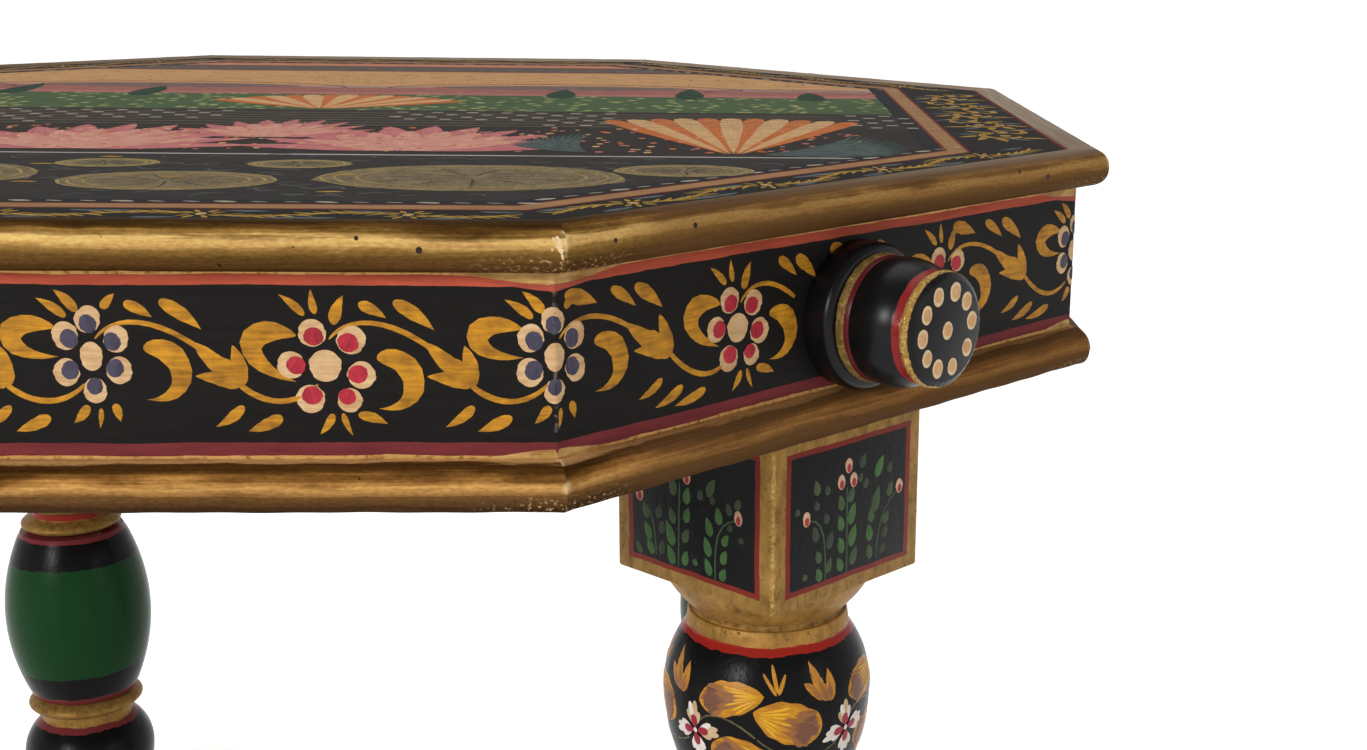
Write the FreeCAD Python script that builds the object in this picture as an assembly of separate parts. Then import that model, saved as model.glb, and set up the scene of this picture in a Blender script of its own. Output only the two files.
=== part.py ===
import FreeCAD, Part
import math
import os

# Low octagonal table on four turned legs, in millimetres, +Z up.
# The origin is on the floor under the middle of the top.
# Sides are counted anticlockwise from the front, which faces -Y.
# Every second side is a corner side and carries a leg and a turned boss.

# Top
table_width = 600.0            # across flats, over the nose of the top moulding
top_thickness = 12.5
board_count = 4
top_bead_width = 13.5          # from the edge of the boards to the nose
top_bead_projection = 10.5     # nose beyond the face of the apron

# Apron and the moulding under it
apron_height = 51.0
apron_thickness = 15.0
base_bead_height = 13.5
base_bead_projection = 7.5

# Legs, from the moulding down to the floor
block_width = 71.0
block_height = 55.5
block_edge_round = 1.5
shoulder_height = 12.5
collar_height = 7.0
bulb_upper_height = 22.0
bulb_lower_height = 45.0
ring_height = 20.0
barrel_height = 92.0
ankle_height = 14.0
bun_height = 47.0
sole_height = 8.0
neck_diameter = 51.0
collar_diameter = 55.0
bulb_diameter = 70.0
waist_diameter = 38.0
ring_diameter = 50.0
barrel_neck_diameter = 52.0
barrel_diameter = 73.0
ankle_diameter = 46.0
ankle_ring_diameter = 58.0
bun_diameter = 66.0
bun_foot_diameter = 44.0
sole_diameter = 52.0

# Turned boss in front of each leg, a little under the middle of the apron
boss_drop = 3.0
boss_flange_diameter = 46.0
boss_flange_thickness = 10.0
boss_groove_width = 4.5
boss_barrel_length = 15.0
boss_ring_width = 6.0
boss_rim_width = 1.5
boss_groove_diameter = 38.0
boss_barrel_diameter = 40.0
boss_ring_diameter = 34.5
boss_end_diameter = 31.6
spigot_diameter = 14.0
spigot_depth = 25.0            # into the leg post, behind the apron
spigot_end_gap = 2.0

# Glue blocks and battens under the top
glue_block_length = 30.0
batten_width = 40.0
batten_thickness = 20.0
batten_leg_gap = 15.0
batten_end_gap = 20.0

# Square nails, each with its thickness and length
bead_pin_width = 1.5
bead_pin_length = 22.0
bead_pin_set = 1.5             # how far the head sits under the nose
base_nail_width = 2.0
base_nail_length = 32.0
leg_nail_width = 2.5
leg_nail_length = 45.0
leg_nail_spacing = 30.0
batten_nail_width = 2.5
batten_nail_length = 29.0

# Places along a side, as shares of its length
bead_pin_shares = (-0.32, 0.32)
base_nail_shares = (-0.36, 0.36)

# Section of the mouldings, as shares of their own width and height
top_nose_width_share = 0.7
top_nose_round_share = 0.67
base_step_share = 0.12
base_nose_drop_share = 0.6
base_flank_out_share = 0.74
base_flank_drop_share = 0.27
base_foot_out_share = 0.62
base_foot_bulge_share = 0.9

# Turned outlines, as shares of the height or width that they follow
shoulder_bulge_share = 0.1
neck_groove_share = 0.22
neck_lip_share = 0.5
ring_groove_share = 0.2
ankle_ring_share = 0.62
bun_upper_share = 0.42
boss_flange_bevel_share = 0.35
boss_barrel_widest_share = 0.4
boss_ring_flat_share = 0.2

side_names = ("front", "front_right", "right", "back_right",
              "back", "back_left", "left", "front_left")
side_angle = 360.0 / len(side_names)
half_angle = math.radians(side_angle / 2)

leg_lengths = (block_height, shoulder_height, collar_height, bulb_upper_height,
               bulb_lower_height, ring_height, barrel_height, ankle_height,
               bun_height, sole_height)
base_level = sum(leg_lengths)                      # underside of the lower moulding
apron_level = base_level + base_bead_height        # underside of the apron
board_level = apron_level + apron_height           # underside of the top boards
table_height = board_level + top_thickness

# Reaches are measured from the middle of the table, square to a side
nose_reach = table_width / 2
apron_reach = nose_reach - top_bead_projection
board_reach = nose_reach - top_bead_width
inner_reach = apron_reach - apron_thickness
leg_reach = apron_reach - block_width / 2
boss_level = apron_level + apron_height / 2 - boss_drop
overrun = top_thickness                            # extra length of every cutting solid

x_axis = FreeCAD.Vector(1, 0, 0)
z_axis = FreeCAD.Vector(0, 0, 1)
origin = FreeCAD.Vector(0, 0, 0)


def half_side(reach):
    """Half the length of a side whose face stands that far from the middle."""
    return reach * math.tan(half_angle)


def prism(points, bottom, top):
    """Straight prism over an outline in the XY plane."""
    corners = [FreeCAD.Vector(x, y, bottom) for x, y in points]
    face = Part.Face(Part.makePolygon(corners + corners[:1]))
    return face.extrude(FreeCAD.Vector(0, 0, top - bottom))


def block(x_low, x_high, y_low, y_high, bottom, top):
    """Rectangular solid between two corners."""
    outline = ((x_low, y_low), (x_high, y_low), (x_high, y_high), (x_low, y_high))
    return prism(outline, bottom, top)


def octagon(reach, bottom, top):
    """Regular eight-sided prism with its flat sides at the given reach."""
    radius = reach / math.cos(half_angle)
    turns = [half_angle * (2 * corner + 1) for corner in range(len(side_names))]
    return prism([(radius * math.cos(turn), radius * math.sin(turn)) for turn in turns], bottom, top)


def side_wedge(inner, outer, bottom, top):
    """Mitred length of a board on the front side, between two reaches."""
    outline = ((-half_side(outer), -outer), (half_side(outer), -outer),
               (half_side(inner), -inner), (-half_side(inner), -inner))
    return prism(outline, bottom, top)


def to_side(shape, side):
    """Copy of a solid of the front side, turned about the middle to another side."""
    copied = shape.copy()
    copied.rotate(origin, z_axis, side_angle * side)
    return copied


def outline_face(start, steps):
    """Closed face: a step of one point is a straight, a step of two points an arc."""
    edges = []
    place = start
    for step in steps:
        if len(step) == 1:
            edges.append(Part.LineSegment(place, step[0]).toShape())
        else:
            edges.append(Part.Arc(place, step[0], step[1]).toShape())
        place = step[-1]
    return Part.Face(Part.Wire(edges))


def mitred_bar(section, inner, outer, bottom, top):
    """Section drawn in YZ, run along the front side and mitred at both ends."""
    reach = half_side(outer) + overrun
    moved = section.translated(FreeCAD.Vector(-reach, 0, 0))
    bar = moved.extrude(FreeCAD.Vector(reach * 2, 0, 0))
    return bar.common(side_wedge(inner, outer, bottom, top))


def top_bead():
    """Moulding round the boards, front side. Its nose is a flattened half round of
    three arcs: a tight one at the tip and a wide one above and below it."""
    depth = top_bead_width * top_nose_width_share
    half = top_thickness / 2
    tip = half * top_nose_round_share
    wide = ((depth - tip) ** 2 + half ** 2 - tip ** 2) / (half - tip) / 2
    turn = math.atan2(wide - half, depth - tip)
    middle = board_level + half
    root = nose_reach - depth

    def on_tip(angle):
        return FreeCAD.Vector(0, -(root + depth - tip + tip * math.cos(angle)),
                              middle + tip * math.sin(angle))

    def on_flank(angle, side):
        return FreeCAD.Vector(0, -(root + wide * math.cos(angle)),
                              middle + side * (wide * math.sin(angle) - wide + half))

    between = (turn + math.pi / 2) / 2
    start = FreeCAD.Vector(0, -root, table_height)
    steps = (
        [on_flank(between, 1), on_tip(turn)],
        [on_tip(0), on_tip(-turn)],
        [on_flank(between, -1), FreeCAD.Vector(0, -root, board_level)],
        [FreeCAD.Vector(0, -board_reach, board_level)],
        [FreeCAD.Vector(0, -board_reach, table_height)],
        [start],
    )
    return mitred_bar(outline_face(start, steps), board_reach, nose_reach, board_level, table_height)


def base_bead():
    """Wider moulding under the apron, front side: a small step, then a round nose."""
    nose_level = apron_level - base_bead_height * base_nose_drop_share
    flank_level = apron_level - base_bead_height * base_flank_drop_share

    def at(out, level):
        return FreeCAD.Vector(0, -apron_reach - out, level)

    start = at(-apron_thickness, apron_level)
    steps = (
        [at(base_bead_projection * base_step_share, apron_level)],
        [at(base_bead_projection * base_flank_out_share, flank_level),
         at(base_bead_projection, nose_level)],
        [at(base_bead_projection * base_foot_bulge_share, (nose_level + base_level) / 2),
         at(base_bead_projection * base_foot_out_share, base_level)],
        [at(-apron_thickness, base_level)],
        [start],
    )
    reach = apron_reach + base_bead_projection
    return mitred_bar(outline_face(start, steps), inner_reach, reach, base_level, apron_level)


def rim(diameter, level):
    """Point of a turned outline, which is drawn in XZ beside the axis."""
    return FreeCAD.Vector(diameter / 2, 0, level)


def swell(wide, wide_level, narrow, narrow_level):
    """Middle point of the arc that stands upright at its wide end."""
    run = abs(narrow_level - wide_level)
    inset = (wide - narrow) / 2
    radius = (inset ** 2 + run ** 2) / (inset * 2)
    sunk = radius - math.sqrt(radius ** 2 - run ** 2 / 4)
    return rim(wide - sunk * 2, (wide_level + narrow_level) / 2)


def ring_steps(core, crest, top, bottom):
    """Sharp ring round a turning: a slope out to the crest, and one back to the core."""
    return [[rim(crest, (top + bottom) / 2)], [rim(core, bottom)]]


def turning_steps(block_base):
    """Outline of the round part of a leg, from the block down to the sole."""
    shoulder_base = block_base - shoulder_height
    collar_base = shoulder_base - collar_height
    bulb_widest = collar_base - bulb_upper_height
    bulb_base = bulb_widest - bulb_lower_height
    ring_base = bulb_base - ring_height
    barrel_base = ring_base - barrel_height
    ankle_base = barrel_base - ankle_height

    shoulder_swell = (block_width + neck_diameter) / 2 + (block_width - neck_diameter) * shoulder_bulge_share
    groove_base = shoulder_base - collar_height * neck_groove_share
    lip = neck_diameter + (collar_diameter - neck_diameter) * neck_lip_share
    ring_groove = ring_height * ring_groove_share
    upper_ring_base = bulb_base - (ring_height - ring_groove) / 2
    lower_ring_top = upper_ring_base - ring_groove
    ankle_ring_base = barrel_base - ankle_height * ankle_ring_share
    bun_widest = ankle_base - bun_height * bun_upper_share

    steps = [
        [rim(block_width, block_base)],
        [rim(shoulder_swell, (block_base + shoulder_base) / 2), rim(neck_diameter, shoulder_base)],
        [rim(neck_diameter, groove_base)],
        [rim(lip, groove_base)],
        [rim(collar_diameter, collar_base)],
        [swell(bulb_diameter, bulb_widest, collar_diameter, collar_base),
         rim(bulb_diameter, bulb_widest)],
        [swell(bulb_diameter, bulb_widest, waist_diameter, bulb_base),
         rim(waist_diameter, bulb_base)],
    ]
    steps += ring_steps(waist_diameter, ring_diameter, bulb_base, upper_ring_base)
    steps += [[rim(waist_diameter, lower_ring_top)]]
    steps += ring_steps(waist_diameter, ring_diameter, lower_ring_top, ring_base)
    steps += [
        [rim(barrel_neck_diameter, ring_base)],
        [rim(barrel_diameter, (ring_base + barrel_base) / 2), rim(barrel_neck_diameter, barrel_base)],
        [rim(ankle_diameter, barrel_base)],
    ]
    steps += ring_steps(ankle_diameter, ankle_ring_diameter, barrel_base, ankle_ring_base)
    steps += [
        [rim(ankle_diameter, ankle_base)],
        [rim(bun_diameter, bun_widest), rim(bun_foot_diameter, sole_height)],
        [rim(sole_diameter, sole_height)],
        [rim(sole_diameter, 0)],
    ]
    return steps


def leg():
    """Leg of the front side: square block, turning below it and post above it."""
    block_base = base_level - block_height
    axis_top = FreeCAD.Vector(0, 0, block_base)
    outline = outline_face(axis_top, turning_steps(block_base) + [[origin], [axis_top]])
    turning = outline.revolve(origin, z_axis, 360)

    half = block_width / 2
    square = block(-half, half, -half, half, block_base, base_level)
    upright = [edge for edge in square.Edges if edge.BoundBox.ZLength > block_height / 2]
    square = square.makeFillet(block_edge_round, upright)
    post = block(-half, half, apron_thickness - half, half, base_level, board_level)
    return square.fuse([post, turning]).translated(FreeCAD.Vector(0, -leg_reach, 0))


def boss():
    """Turned boss of the front side, standing out from the apron on a long spigot."""
    bevel = boss_flange_thickness * boss_flange_bevel_share
    groove_end = boss_flange_thickness + boss_groove_width
    barrel_end = groove_end + boss_barrel_length
    ring_end = barrel_end + boss_ring_width
    rim_end = ring_end + boss_rim_width
    widest = groove_end + boss_barrel_length * boss_barrel_widest_share
    lip = boss_flange_diameter - bevel * 2
    collar = boss_ring_diameter + boss_rim_width
    tail = -(apron_thickness + spigot_depth)
    start = FreeCAD.Vector(0, 0, tail)
    steps = [
        [rim(spigot_diameter, tail)],
        [rim(spigot_diameter, 0)],
        [rim(boss_flange_diameter, 0)],
        [rim(boss_flange_diameter, boss_flange_thickness - bevel)],
        [rim(lip, boss_flange_thickness)],
        [rim(boss_groove_diameter, groove_end)],
        [swell(boss_barrel_diameter, widest, boss_groove_diameter, groove_end),
         rim(boss_barrel_diameter, widest)],
        [swell(boss_barrel_diameter, widest, boss_ring_diameter, barrel_end),
         rim(boss_ring_diameter, barrel_end)],
    ]
    steps += [[rim(boss_ring_diameter, barrel_end + boss_ring_width / 2)],
              [rim(collar, ring_end - boss_ring_width * boss_ring_flat_share)],
              [rim(boss_ring_diameter, ring_end)],
              [rim(boss_end_diameter, rim_end)],
              [FreeCAD.Vector(0, 0, rim_end)],
              [start]]
    solid = outline_face(start, steps).revolve(origin, z_axis, 360)
    solid.rotate(origin, x_axis, math.degrees(math.pi / 2))
    return solid.translated(FreeCAD.Vector(0, -apron_reach, boss_level))


def spigot_hole():
    """Blind hole for the boss, through the apron and into the leg post."""
    depth = overrun + apron_thickness + spigot_depth + spigot_end_gap
    start = FreeCAD.Vector(0, -apron_reach - overrun, boss_level)
    return Part.makeCylinder(spigot_diameter / 2, depth, start, FreeCAD.Vector(0, 1, 0))


def level_nail(x, head_y, level, width, length):
    """Square nail driven inwards from the front side."""
    half = width / 2
    return block(x - half, x + half, head_y, head_y + length, level - half, level + half)


def upright_nail(x, y, head_level, width, length):
    """Square nail driven upwards."""
    half = width / 2
    return block(x - half, x + half, y - half, y + half, head_level, head_level + length)


def bead_pins(head_y, length):
    """Pins of the front side, through the top moulding into the boards."""
    level = board_level + top_thickness / 2
    places = [half_side(board_reach) * 2 * share for share in bead_pin_shares]
    return [level_nail(x, head_y, level, bead_pin_width, length) for x in places]


def base_nails():
    """Nails of the front side, driven up through the lower moulding into the apron."""
    y = apron_thickness / 2 - apron_reach
    places = [half_side(apron_reach) * 2 * share for share in base_nail_shares]
    return [upright_nail(x, y, base_level, base_nail_width, base_nail_length) for x in places]


def leg_nails():
    """Nails of the front side, through the apron into the post, under the boss."""
    places = (-leg_nail_spacing / 2, leg_nail_spacing / 2)
    return [level_nail(x, -apron_reach, boss_level, leg_nail_width, leg_nail_length) for x in places]


def batten(side):
    """Flat batten under the boards, beside the leg posts; side is -1 or 1."""
    slant = math.cos(half_angle * 2)
    post_corner = (apron_reach - block_width) * slant - block_width / 2 * slant
    middle = side * (post_corner - batten_leg_gap - batten_width / 2)
    end = inner_reach - batten_end_gap
    low = board_level - batten_thickness
    return block(middle - batten_width / 2, middle + batten_width / 2, -end, end, low, board_level)


def batten_nails(x):
    """Nails driven up through a batten, one into each board."""
    low = board_level - batten_thickness
    spacing = board_reach * 2 / board_count
    places = [spacing * number + spacing / 2 - board_reach for number in range(board_count)]
    return [upright_nail(x, y, low, batten_nail_width, batten_nail_length) for y in places]


def glue_block():
    """Three-sided block in the corner between the front side and the next one."""
    corner_x = half_side(inner_reach)
    turn = half_angle * 2
    outline = ((corner_x, -inner_reach),
               (corner_x + glue_block_length * math.cos(turn),
                glue_block_length * math.sin(turn) - inner_reach),
               (corner_x - glue_block_length, -inner_reach))
    return prism(outline, base_level, board_level)


def cut_all(shape, tools):
    """Solid less every tool that reaches it."""
    reaching = [tool for tool in tools if tool.BoundBox.intersect(shape.BoundBox)]
    return shape.cut(reaching) if reaching else shape


def export(name, shapes):
    """Write one node; several shapes make one node of separate solids."""
    shape = shapes[0] if len(shapes) == 1 else Part.makeCompound(shapes)
    shape.exportStep("parts/" + name + ".step")
    print(name, len(shape.Solids), "solids", shape.isValid())


def main():
    os.makedirs("parts", exist_ok=True)
    sides = range(len(side_names))
    corner_sides = sides[1::2]
    pins = bead_pins(bead_pin_set - nose_reach, bead_pin_length)
    pin_holes = bead_pins(-nose_reach - overrun, overrun + bead_pin_set + bead_pin_length)
    battens = {"left": batten(-1), "right": batten(1)}
    rail_nails = [nail for rail in battens.values() for nail in batten_nails(rail.CenterOfMass.x)]

    panel = octagon(board_reach, board_level, table_height)
    panel_cuts = [to_side(hole, side) for side in sides for hole in pin_holes] + rail_nails
    width = board_reach * 2 / board_count
    for number in range(board_count):
        front = width * number - board_reach
        strip = block(-nose_reach, nose_reach, front, front + width, board_level, table_height)
        export("top_board_%d" % (number + 1), [cut_all(panel.common(strip), panel_cuts)])
    for name, rail in battens.items():
        export("cross_batten_" + name, [cut_all(rail, rail_nails)])

    top_strip = cut_all(top_bead(), pin_holes)
    base_strip = cut_all(base_bead(), base_nails())
    plain_apron = cut_all(side_wedge(inner_reach, apron_reach, apron_level, board_level), base_nails())
    boss_cuts = leg_nails() + [spigot_hole()]
    bored_apron = cut_all(plain_apron, boss_cuts)
    bored_leg = cut_all(leg(), boss_cuts)
    for side in sides:
        name = side_names[side]
        board = bored_apron if side in corner_sides else plain_apron
        export("top_bead_" + name, [to_side(top_strip, side)])
        export("apron_" + name, [to_side(board, side)])
        export("base_bead_" + name, [to_side(base_strip, side)])
        export("glue_block_%d" % (side + 1), [to_side(glue_block(), side)])
    for side in corner_sides:
        export("leg_" + side_names[side], [to_side(bored_leg, side)])
        export("boss_" + side_names[side], [to_side(boss(), side)])

    export("top_bead_pins", [to_side(pin, side) for side in sides for pin in pins])
    export("base_bead_nails", [to_side(nail, side) for side in sides for nail in base_nails()])
    export("leg_nails", [to_side(nail, side) for side in corner_sides for nail in leg_nails()])
    export("batten_nails", rail_nails)
    print("table height", table_height)


main()
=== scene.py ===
import math

import bpy
import numpy as np
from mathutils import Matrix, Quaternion, Vector


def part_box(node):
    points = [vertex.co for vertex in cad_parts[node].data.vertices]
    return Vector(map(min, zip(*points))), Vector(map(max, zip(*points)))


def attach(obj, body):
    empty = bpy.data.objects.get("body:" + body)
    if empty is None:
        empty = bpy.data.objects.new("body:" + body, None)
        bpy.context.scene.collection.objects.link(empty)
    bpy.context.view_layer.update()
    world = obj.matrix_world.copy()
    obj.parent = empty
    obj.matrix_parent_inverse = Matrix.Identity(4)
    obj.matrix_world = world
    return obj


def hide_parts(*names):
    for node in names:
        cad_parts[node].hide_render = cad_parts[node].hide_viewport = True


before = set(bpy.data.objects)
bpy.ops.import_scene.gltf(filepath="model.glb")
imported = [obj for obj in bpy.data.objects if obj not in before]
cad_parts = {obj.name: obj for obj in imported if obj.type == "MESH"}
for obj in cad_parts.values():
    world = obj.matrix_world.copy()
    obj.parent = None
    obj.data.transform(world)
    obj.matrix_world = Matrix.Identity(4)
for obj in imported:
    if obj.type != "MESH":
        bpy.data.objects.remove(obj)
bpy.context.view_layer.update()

bl_info = {
    "name": "Painted octagonal low table",
    "version": (1, 0, 0),
    "blender": (4, 5, 0),
    "location": "3D View > Sidebar > Table",
    "description": "Dresses the carcase with turned legs, mouldings, bosses and painted ornament",
    "category": "Object",
}

mm = 0.001
paint_film = 0.07 * mm

side_names = ("front", "front_right", "right", "back_right",
              "back", "back_left", "left", "front_left")
side_turn = math.tau / len(side_names)
side_slope = math.tan(side_turn / 2)
corner_sides = range(1, len(side_names), 2)


def front_reach(node):
    """How far a node of the front side stands out from the middle of the table."""
    return -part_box(node)[0][1]


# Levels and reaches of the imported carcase
top_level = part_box("top_board_1")[1][2]
board_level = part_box("top_board_1")[0][2]
apron_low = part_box("apron_front")[0][2]
base_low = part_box("base_bead_front")[0][2]
boss_level = (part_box("boss_front_right")[0][2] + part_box("boss_front_right")[1][2]) / 2
board_reach = front_reach("top_board_1")
nose_reach = front_reach("top_bead_front")
apron_reach = front_reach("apron_front")
base_reach = front_reach("base_bead_front")
apron_inner = -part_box("apron_front")[1][1]
apron_side = apron_reach * side_slope * 2
apron_middle = (apron_low + board_level) / 2


def linear(tone):
    """Linear colour with alpha from an sRGB hex value. Other values stay as they are."""
    if not isinstance(tone, str):
        return tone
    shares = [int(tone[place:place + 2], 16) / 255 for place in (1, 3, 5)]
    curve = [s / 12.92 if s <= 0.04045 else ((s + 0.055) / 1.055) ** 2.4 for s in shares]
    return tuple(curve) + (1.0,)


def length(name, about, default):
    """A length in metres that the panel shows."""
    return bpy.props.FloatProperty(name=name, description=about, default=default,
                                   min=0.0, subtype="DISTANCE", unit="LENGTH")


def colour(name, about, text):
    """A colour that the panel shows."""
    return bpy.props.FloatVectorProperty(name=name, description=about, default=linear(text),
                                         size=4, min=0.0, max=1.0, subtype="COLOR")


class LegSizes(bpy.types.PropertyGroup):
    """Heights and diameters of a leg, from the block down."""
    block_width: length("Block width", "Width of the square block", 71 * mm)
    block_height: length("Block height", "Height of the block under the moulding", 55.5 * mm)
    block_round: length("Block edge", "Rounding of the block's edges", 1.5 * mm)
    shoulder: length("Shoulder", "Height of the shoulder under the block", 12.5 * mm)
    collar: length("Collar", "Height of the collar over the bulb", 7 * mm)
    bulb_upper: length("Upper bulb", "Height of the bulb over its widest place", 22 * mm)
    bulb_lower: length("Lower bulb", "Height of the bulb under its widest place", 45 * mm)
    rings: length("Rings", "Height of the pair of rings", 20 * mm)
    barrel: length("Barrel", "Height of the barrel", 92 * mm)
    ankle: length("Ankle", "Height of the ankle ring and neck", 14 * mm)
    sole: length("Sole", "Height of the sole", 8 * mm)
    neck_width: length("Neck width", "Diameter of the neck", 51 * mm)
    collar_width: length("Collar width", "Diameter of the collar", 55 * mm)
    bulb_width: length("Bulb width", "Diameter of the bulb", 70 * mm)
    waist_width: length("Waist width", "Diameter between the rings", 38 * mm)
    ring_width: length("Ring width", "Diameter of the rings", 50 * mm)
    barrel_neck: length("Barrel neck", "Diameter of the barrel's ends", 52 * mm)
    barrel_width: length("Barrel width", "Diameter of the barrel", 73 * mm)
    ankle_width: length("Ankle width", "Diameter of the ankle neck", 46 * mm)
    ankle_ring: length("Ankle ring", "Diameter of the ankle ring", 58 * mm)
    bun_width: length("Bun width", "Diameter of the bun foot", 66 * mm)
    bun_foot: length("Bun foot", "Diameter of the bun over the sole", 44 * mm)
    sole_width: length("Sole width", "Diameter of the sole", 52 * mm)


class BossSizes(bpy.types.PropertyGroup):
    """Turned boss: distances from the apron and diameters."""
    flange: length("Flange", "Thickness of the flange", 10 * mm)
    groove: length("Groove", "End of the painted groove", 14.5 * mm)
    barrel: length("Barrel", "End of the barrel", 29.5 * mm)
    ring: length("Ring", "End of the gilt ring", 35.5 * mm)
    end: length("End", "Distance of the flat end", 37 * mm)
    flange_width: length("Flange width", "Diameter of the flange", 46 * mm)
    groove_width: length("Groove width", "Diameter at the groove", 38.6 * mm)
    barrel_width: length("Barrel width", "Largest diameter of the barrel", 40 * mm)
    ring_width: length("Ring width", "Diameter of the gilt ring", 34.5 * mm)
    end_width: length("End width", "Diameter of the flat end", 31.6 * mm)
    dot_width: length("Dot", "Diameter of a painted dot", 5.6 * mm)
    dot_reach: length("Dot ring", "Distance of the dots from the middle", 11.8 * mm)


class TopSizes(bpy.types.PropertyGroup):
    """Painted border and frame on the top, as reaches from the middle."""
    frame_out: length("Frame", "Outer edge of the painted frame, front and back", 268 * mm)
    frame_side: length("Frame at the ends", "Outer edge of the frame, left and right", 250 * mm)
    frame_width: length("Frame width", "Width of the tan strip", 8 * mm)
    band_width: length("Dash band", "Width of the dashed band inside the frame", 9 * mm)
    hedge_low: length("Hedge", "Depth of the hedge behind the middle", 70 * mm)
    terrace: length("Terrace", "Distance of the pool's edge before the middle", 150 * mm)


class PaintColours(bpy.types.PropertyGroup):
    """Paints of the table."""
    ground: colour("Ground", "Black ground", "#191716")
    brick: colour("Brick", "Brick red line", "#b5523c")
    crimson: colour("Crimson", "Crimson lines", "#732f31")
    vine: colour("Vine", "Vine and leaves on the apron", "#d2921f")
    petals: colour("Petals", "Petals on the apron", "#dcb98c")
    red_hearts: colour("Red hearts", "Petal centres of the red flowers", "#bf2d3d")
    violet_hearts: colour("Violet hearts", "Petal centres of the violet flowers", "#4c4759")
    dots: colour("Dots", "Dots on the bosses", "#efd6ae")


def settings(name):
    """One of the property groups of the scene."""
    return getattr(bpy.context.scene, "table_" + name)


def smooth(low, high, value):
    """Zero below low, one above high and a smooth step between."""
    share = np.clip((value - low) / (high - low), 0, 1)
    return share * share * (3 - 2 * share)


def turned(points, side):
    """Points of the front side, turned about the middle of the table to another side, or
    each to its own where side is an array."""
    turn = side * side_turn
    x = points[..., 0] * np.cos(turn) - points[..., 1] * np.sin(turn)
    y = points[..., 0] * np.sin(turn) + points[..., 1] * np.cos(turn)
    return np.stack([x, y, points[..., 2]], axis=-1)


def shell(points, uv, wrap=False, caps=False):
    """One grid, or a stack of like grids, of shape (grids, rows, columns, 3). The way
    down the rows crossed with the way along the columns points outwards. A wrapped grid
    closes round its columns and has one more column of uv; caps close its two ends."""
    if points.ndim == 3:
        points = points[None]
        uv = uv[None]
    return {"points": points, "uv": uv, "wrap": wrap, "caps": caps}


def shell_faces(part, first):
    """Vertex numbers and uv of the four corners of every face of a shell."""
    grids, rows, columns = part["points"].shape[:3]
    across = columns if part["wrap"] else columns - 1
    grid, row, column = np.meshgrid(np.arange(grids), np.arange(rows - 1), np.arange(across),
                                    indexing="ij")
    corners = [(row, column), (row + 1, column), (row + 1, column + 1), (row, column + 1)]
    faces = [first + (grid * rows + r) * columns + c % columns for r, c in corners]
    uvs = [part["uv"][grid, r, c] for r, c in corners]
    return np.stack(faces, axis=-1).reshape(-1, 4), np.stack(uvs, axis=-2).reshape(-1, 4, 2)


def mesh_object(name, shells, paint, crease=40):
    """Mesh of several shells, smooth except over edges sharper than crease degrees."""
    points, corners, totals, uvs = [], [], [], []
    first = 0
    for part in shells:
        grids, rows, columns = part["points"].shape[:3]
        faces, face_uv = shell_faces(part, first)
        corners.append(faces.reshape(-1))
        uvs.append(face_uv.reshape(-1, 2))
        totals.append(np.full(len(faces), 4))
        if part["caps"]:
            ring = np.arange(columns)
            last = (rows - 1) * columns
            for cap, row in ((ring, 0), (last + ring[::-1], rows - 1)):
                corners.append(first + cap)
                uvs.append(part["uv"][0, row, cap % columns])
                totals.append(np.array([columns]))
        points.append(part["points"].reshape(-1, 3))
        first += grids * rows * columns
    points = np.concatenate(points)
    corners = np.concatenate(corners)
    totals = np.concatenate(totals)
    mesh = bpy.data.meshes.new(name)
    mesh.vertices.add(len(points))
    mesh.vertices.foreach_set("co", points.astype(np.float32).ravel())
    mesh.loops.add(len(corners))
    mesh.loops.foreach_set("vertex_index", corners.astype(np.int32))
    mesh.polygons.add(len(totals))
    mesh.polygons.foreach_set("loop_start", (np.cumsum(totals) - totals).astype(np.int32))
    mesh.polygons.foreach_set("use_smooth", np.ones(len(totals), bool))
    layer = mesh.uv_layers.new(name="paint")
    layer.data.foreach_set("uv", np.concatenate(uvs).astype(np.float32).ravel())
    mesh.materials.append(paint)
    mesh.update(calc_edges=True)
    mesh.validate()
    mesh.set_sharp_from_angle(angle=math.radians(crease))
    piece = bpy.data.objects.new(name, mesh)
    bpy.context.scene.collection.objects.link(piece)
    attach(piece, "root")
    return piece


def dress(node, paint):
    """Gives a node of the carcase its paint."""
    node.data.materials.clear()
    node.data.materials.append(paint)


# Brush marks

def leaf(x, y, tip_x, tip_y, half_width, bend=0.0, blunt=0.5, sharp=1.0):
    """Mark from a blunt end to a pointed tip; bend bows it to the left by that share."""
    run = np.array([tip_x - x, tip_y - y])
    side = np.array([-run[1], run[0]]) * bend
    start = np.array([x, y])
    path = (start, start + run / 3 + side, start + run * 2 / 3 + side, start + run)
    return path, half_width, blunt, sharp


def dot(x, y, half_width, half_height, turn=0.0):
    """Oval mark."""
    up = np.array([-math.sin(turn), math.cos(turn)]) * half_height
    middle = np.array([x, y])
    return leaf(*(middle - up), *(middle + up), half_width, 0.0, 0.5, 0.5)


def stem(path, half_width, start=0.12, end=0.12):
    """Long mark of nearly even width along a cubic curve of four points."""
    return [np.array(point) for point in path], half_width, start, end


def placed(marks, x=0.0, y=0.0, stretch=1.0):
    """Marks in millimetres moved to a place, in metres, and stretched along the first way."""
    shift = np.array([x, y])
    size = np.array([stretch, 1.0]) * mm
    return [([point * size + shift for point in path], width * mm, start, end)
            for path, width, start, end in marks]


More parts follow.
